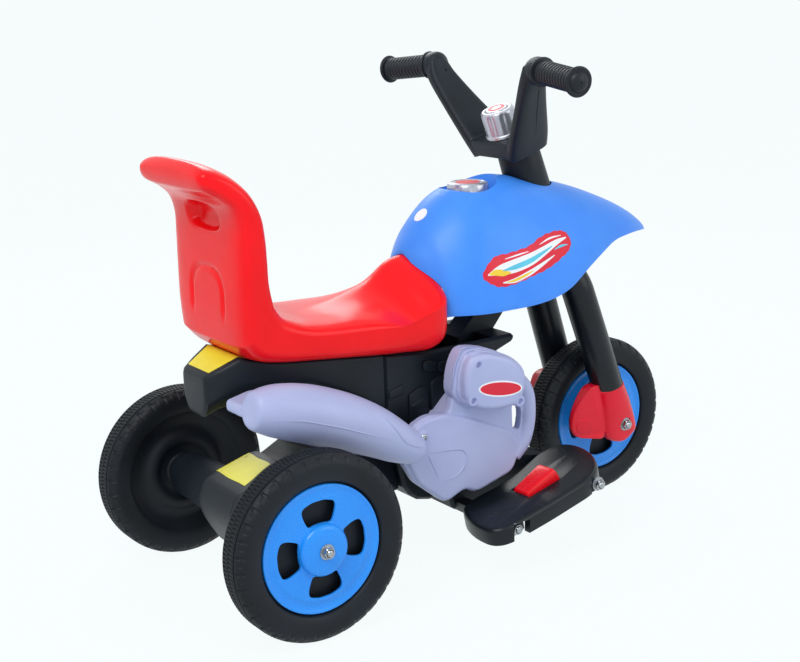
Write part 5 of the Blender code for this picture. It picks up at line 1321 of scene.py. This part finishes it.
for side, hand in SIDES:
    piece(f"{hand}_red_foot", on_side(fork_foot(), side), foot_red, "steering",
          (f"{hand}_fork_shoe",), 50)
    node = f"front_{hand}_axle_nut"
    hexagon_nut(f"front_{hand}_hexagon_nut", wheel_view(0, 0, near_end(node, -side)), (0, side, 0),
                "steering", node)
front_reach = near_end("front_axle", 1)
front_ends = [wheel_view(0, 0, side * front_reach) for side in (-1, 1)]
threaded_bar("front_axle_bar", *front_ends, AXLE_RADIUS, "steering", "front_axle")


# Steering neck and handlebar
# Black mouldings: a tapered collar over the steering rod, and on it the handlebar, one piece with a flat
# bridge and two broad blades that lean out and bend over into the hubs of the grips. Their parting lines
# run down the middle.

BRIDGE_LOW = 0.431
BRIDGE_TOP = 0.454
ARM_ROWS = mm((
    # up the axis from the bridge's underside, inner and outer side, rear and front edge
    (2, 24, 47, -44, 20), (25, 38, 59, -44.5, 19), (69, 66, 85, -42, 8), (104, 86, 106, -39, 0),
    (119, 93, 113, -35, -2), (130, 97, 111, -29, -7),
))


def arm_ring(row, grow=0.0, n=3.6):
    s, inner, outer, rear, front = row
    middle_y, middle_t = (inner + outer) / 2, (rear + front) / 2
    ring = []
    for k in range(40):
        turn = 2 * pi * k / 40
        u = ((outer - inner) / 2 + grow) * power(cos(turn), 2 / n)
        v = ((front - rear) / 2 + grow) * power(sin(turn), 2 / n)
        ring.append(steer(BRIDGE_LOW + s - 0.25 * (middle_y + u - inner), -(middle_y + u), middle_t + v))
    return ring


grip_start = steer(BRIDGE_LOW + 0.1184, -0.119, -0.0165)
grip_end = steer(BRIDGE_LOW + 0.115, -(0.119 + 0.087 * cos(radians(10))), -0.0315)
grip_way = (grip_end - grip_start).normalized()
bridge_outline = rounded(mm(((-44, -44), (44, -44), (48, 14), (30, 29), (-30, 29), (-48, 14))), 0.008)
handlebar = [slab(bridge_outline, lambda u, v, depth: steer(depth, u, v), BRIDGE_LOW, BRIDGE_TOP, 0.003,
                  3, 0.003)]
for side in (-1, 1):
    rows = flowing(ARM_ROWS, 5)
    arm = loft([arm_ring(row) for row in rows] + [arm_ring(rows[-1], -0.003), arm_ring(rows[-1], -0.006)])
    hub = turned(mm(((-23, 4), (-22.5, 9), (-20, 14), (-16, 17), (-11, 18), (-0.3, 18))),
                 grip_start, grip_way, 40)
    core = turned([(-0.01, 0.01), (0.081, 0.01)], grip_start, grip_way, 24)
    handlebar.append(on_side(joined(arm, hub, core), side))
handlebar = softened(joined(*handlebar), 0.0014, 4)
rod_bore = turned([(0, 0.0083), (0.0335, 0.0083)], steer(BRIDGE_LOW - 0.02, 0, 0), up_axis, 24)
handlebar = cut(handlebar, rod_bore)
handlebar_skin = skin_of(handlebar)
lines = []
for side in (-1, 1):
    path = []
    for s, inner, outer, rear, front in flowing(ARM_ROWS[1:], 4)[:-1]:
        start = steer(BRIDGE_LOW + s - 0.25 * (outer - inner), side * (outer + 0.03),
                      (rear + front) / 2 + 0.004)
        path.append(laid(handlebar_skin, start, Vector((0, -side, 0)), 0.0))
    lines.append(ridge_line(path, 0.0006, 2))
piece("handlebar_moulding", joined(handlebar, *lines), satin_black, "steering",
      ("handlebar",), 40)

NECK_PROFILE = mm(((335.8, 8.3), (335.8, 30), (336.8, 31), (390, 29.8), (429.5, 28.8), (430.7, 27.8),
                   (430.7, 8.3)))
neck = turned(NECK_PROFILE, steer(0, 0, 0), up_axis, 64, True)
piece("neck_collar", neck, satin_black, "steering", ("steering_neck",), 40)


# Grips
# Black soft vinyl sleeves, dip moulded and pulled over the handlebar's stubs: close ribs round them, a
# flange at each end and a domed cap.

GRIP_START = mm(((0.2, 10.3), (0.2, 17.8), (1, 18.9), (2.4, 19.2), (3.8, 18.7), (4.2, 17.4), (4.6, 14.7)))
GRIP_RIBS = 12
GRIP_PITCH = 0.0766 / GRIP_RIBS
GRIP_RIB = (
    # share of the pitch, radius
    (0.08, 0.0142), (0.22, 0.0142), (0.36, 0.0152), (0.52, 0.0155), (0.78, 0.0155), (0.92, 0.0152),
)
GRIP_END = mm((
    (82.8, 14.7), (83.2, 18), (84.2, 19), (85.4, 19.2), (86.6, 18.4), (87, 16.2), (86.6, 14.6), (86.8, 13),
    (89, 11.8), (90.8, 9.5), (92.2, 6.2), (92.9, 3), (93, 1), (81.5, 1), (81.5, 10.3),
))
# Soft vinyl: nearly black, rubbery and dull, with a fine matt grain.
grip_vinyl = plastic("soft_black_vinyl", "181E26", "12171D", 0.44, 0.0007, 0.00008, ior=1.36)


grip_profile = [*GRIP_START]
for i in range(GRIP_RIBS):
    grip_profile += [(0.0052 + (i + share) * GRIP_PITCH, radius) for share, radius in GRIP_RIB]
grip_profile += GRIP_END
for side, hand in SIDES:
    grip = on_side(turned(grip_profile, grip_start, grip_way, 64, True), side)
    piece(f"{hand}_vinyl_grip", grip, grip_vinyl, "steering", (f"{hand}_grip",), 50)


# Sound knob and its button
# A fluted ABS housing on the bridge, painted silver like the tank cap, with the button pressed into its
# top. The printed disc on the button is left as a plain red ring.

knob_base = steer(BRIDGE_TOP + 0.0003, 0, -0.015)
KNOB_PROFILE = mm((
    # from the bore below, up the outside and down into the button's seat: height, radius
    (0, 6), (0, 23.6), (0.4, 24), (3.6, 24), (4.2, 23.5), (5, 22.6), (15, 22.8), (28, 23), (32, 23.2),
    (34.5, 22.8), (36.2, 21.6), (37, 19.5), (37, 17), (36.6, 16.5), (29, 16.5), (29, 6),
))
knob = turned(KNOB_PROFILE, knob_base, up_axis, 160, True, fluted(8, 0.075, 0.0048, 0.035))
piece("silver_knob_housing", knob, silver_paint, "steering", ("knob_housing",), 40)
BUTTON_PROFILE = mm((
    (32.5, 15), (32.5, 15.8), (36.4, 16), (37.4, 15.6), (38, 14.6), (38.2, 13), (38.2, 2),
))
button = turned(BUTTON_PROFILE, knob_base, up_axis, 64)
button_skin = skin_of(button)
piece("silver_button", button, silver_paint, "sound_button", ("sound_button",), 40)
ahead_axis = (steer(0, 0, 1) - steer(0, 0, 0)).normalized()
for word, size, squeeze, out, ink in (("button_disc", 0.0118, 1.0, 0.0002, red_vinyl),
                                      ("button_disc_middle", 0.0075, 0.8, 0.0004, white_vinyl)):
    disc = disc_grid(knob_base + up_axis * 0.06, ahead_axis, (0, 1, 0), size, squeeze)
    sticker(word, disc, button_skin, -up_axis, out, ink, "sound_button")


# Studio
# A white sweep under soft, even light: a broad lamp high on the left, a weaker one on the right, and a
# bright room. The camera stands low ahead of the right rear corner, as in the photograph.


def in_sight(finish):
    """1 for rays that show the room, straight, in a gloss or through glass; 0 for those that light."""
    rays = add(finish, "LightPath")
    seen = add(finish, "Math", {"operation": "MAXIMUM"},
               {0: rays["Is Camera Ray"], 1: rays["Is Glossy Ray"]})["Value"]
    return add(finish, "Math", {"operation": "MAXIMUM"}, {0: seen, 1: rays["Is Transmission Ray"]})["Value"]


# White paper: bright and even, as in the photograph, and a little cool where it takes the toy's shadow.
ground = blank_finish("white_paper_sweep")
share = add(ground, "Math", {"operation": "MULTIPLY", 1: 0.95}, {0: in_sight(ground)})["Value"]
paper = add(ground, "BsdfDiffuse", {"Color": linear("E6F2F8")})["BSDF"]
glow = add(ground, "Emission", {"Color": linear("F9FFFF"), "Strength": 1.0})["Emission"]
both = add(ground, "MixShader", {}, {0: share, 1: paper, 2: glow})["Shader"]
add(ground, "OutputMaterial", {}, {"Surface": both})
sheet = bmesh.new()
bmesh.ops.create_grid(sheet, x_segments=4, y_segments=4, size=200)
floor_mesh = bpy.data.meshes.new("floor")
sheet.to_mesh(floor_mesh)
sheet.free()
floor_mesh.materials.append(ground)
floor = bpy.data.objects.new("floor", floor_mesh)
floor.location = (0, 0, -0.0002)
bpy.context.scene.collection.objects.link(floor)

world = bpy.data.worlds.new("bright_room")
world.use_nodes = True
world.node_tree.nodes.clear()
room = add(world, "Background", {"Color": linear("F2F8FF"), "Strength": 0.62})["Background"]
white = add(world, "Background", {"Color": linear("F9FFFF"), "Strength": 1.0})["Background"]
both = add(world, "MixShader", {}, {0: in_sight(world), 1: room, 2: white})["Shader"]
add(world, "OutputWorld", {}, {"Surface": both})
bpy.context.scene.world = world


def soft_lamp(name, place, aim, size, power_watts):
    lamp = bpy.data.lights.new(name, "AREA")
    lamp.shape = "DISK"
    lamp.size = size
    lamp.energy = power_watts
    made = bpy.data.objects.new(name, lamp)
    made.location = place
    made.rotation_euler = (Vector(aim) - Vector(place)).to_track_quat("-Z", "Y").to_euler()
    bpy.context.scene.collection.objects.link(made)


soft_lamp("key_lamp", (-1.5, -1.0, 2.3), (0, 0, 0.25), 1.4, 36)
soft_lamp("fill_lamp", (1.3, -2.0, 1.3), (0, 0, 0.25), 1.6, 12)
soft_lamp("rim_lamp", (0.6, 1.8, 1.7), (0, 0, 0.3), 1.2, 14)

turn, tilt, roll = radians(33.99), radians(14.07), radians(-2)
forward = Vector((sin(turn) * cos(tilt), cos(turn) * cos(tilt), -sin(tilt)))
level = Vector((cos(turn), -sin(turn), 0))
upright = level.cross(forward)
right = level * cos(roll) + upright * sin(roll)
upward = -level * sin(roll) + upright * cos(roll)
lens = bpy.data.cameras.new("camera")
lens.sensor_width = 36
lens.lens = 65.84
camera = bpy.data.objects.new("camera", lens)
bpy.context.scene.collection.objects.link(camera)
facing = Matrix((right, upward, -forward)).transposed().to_4x4()
camera.matrix_world = Matrix.Translation((-1.0952, -1.5571, 0.7682)) @ facing
bpy.context.scene.camera = camera
bpy.context.scene.view_settings.view_transform = "Standard"
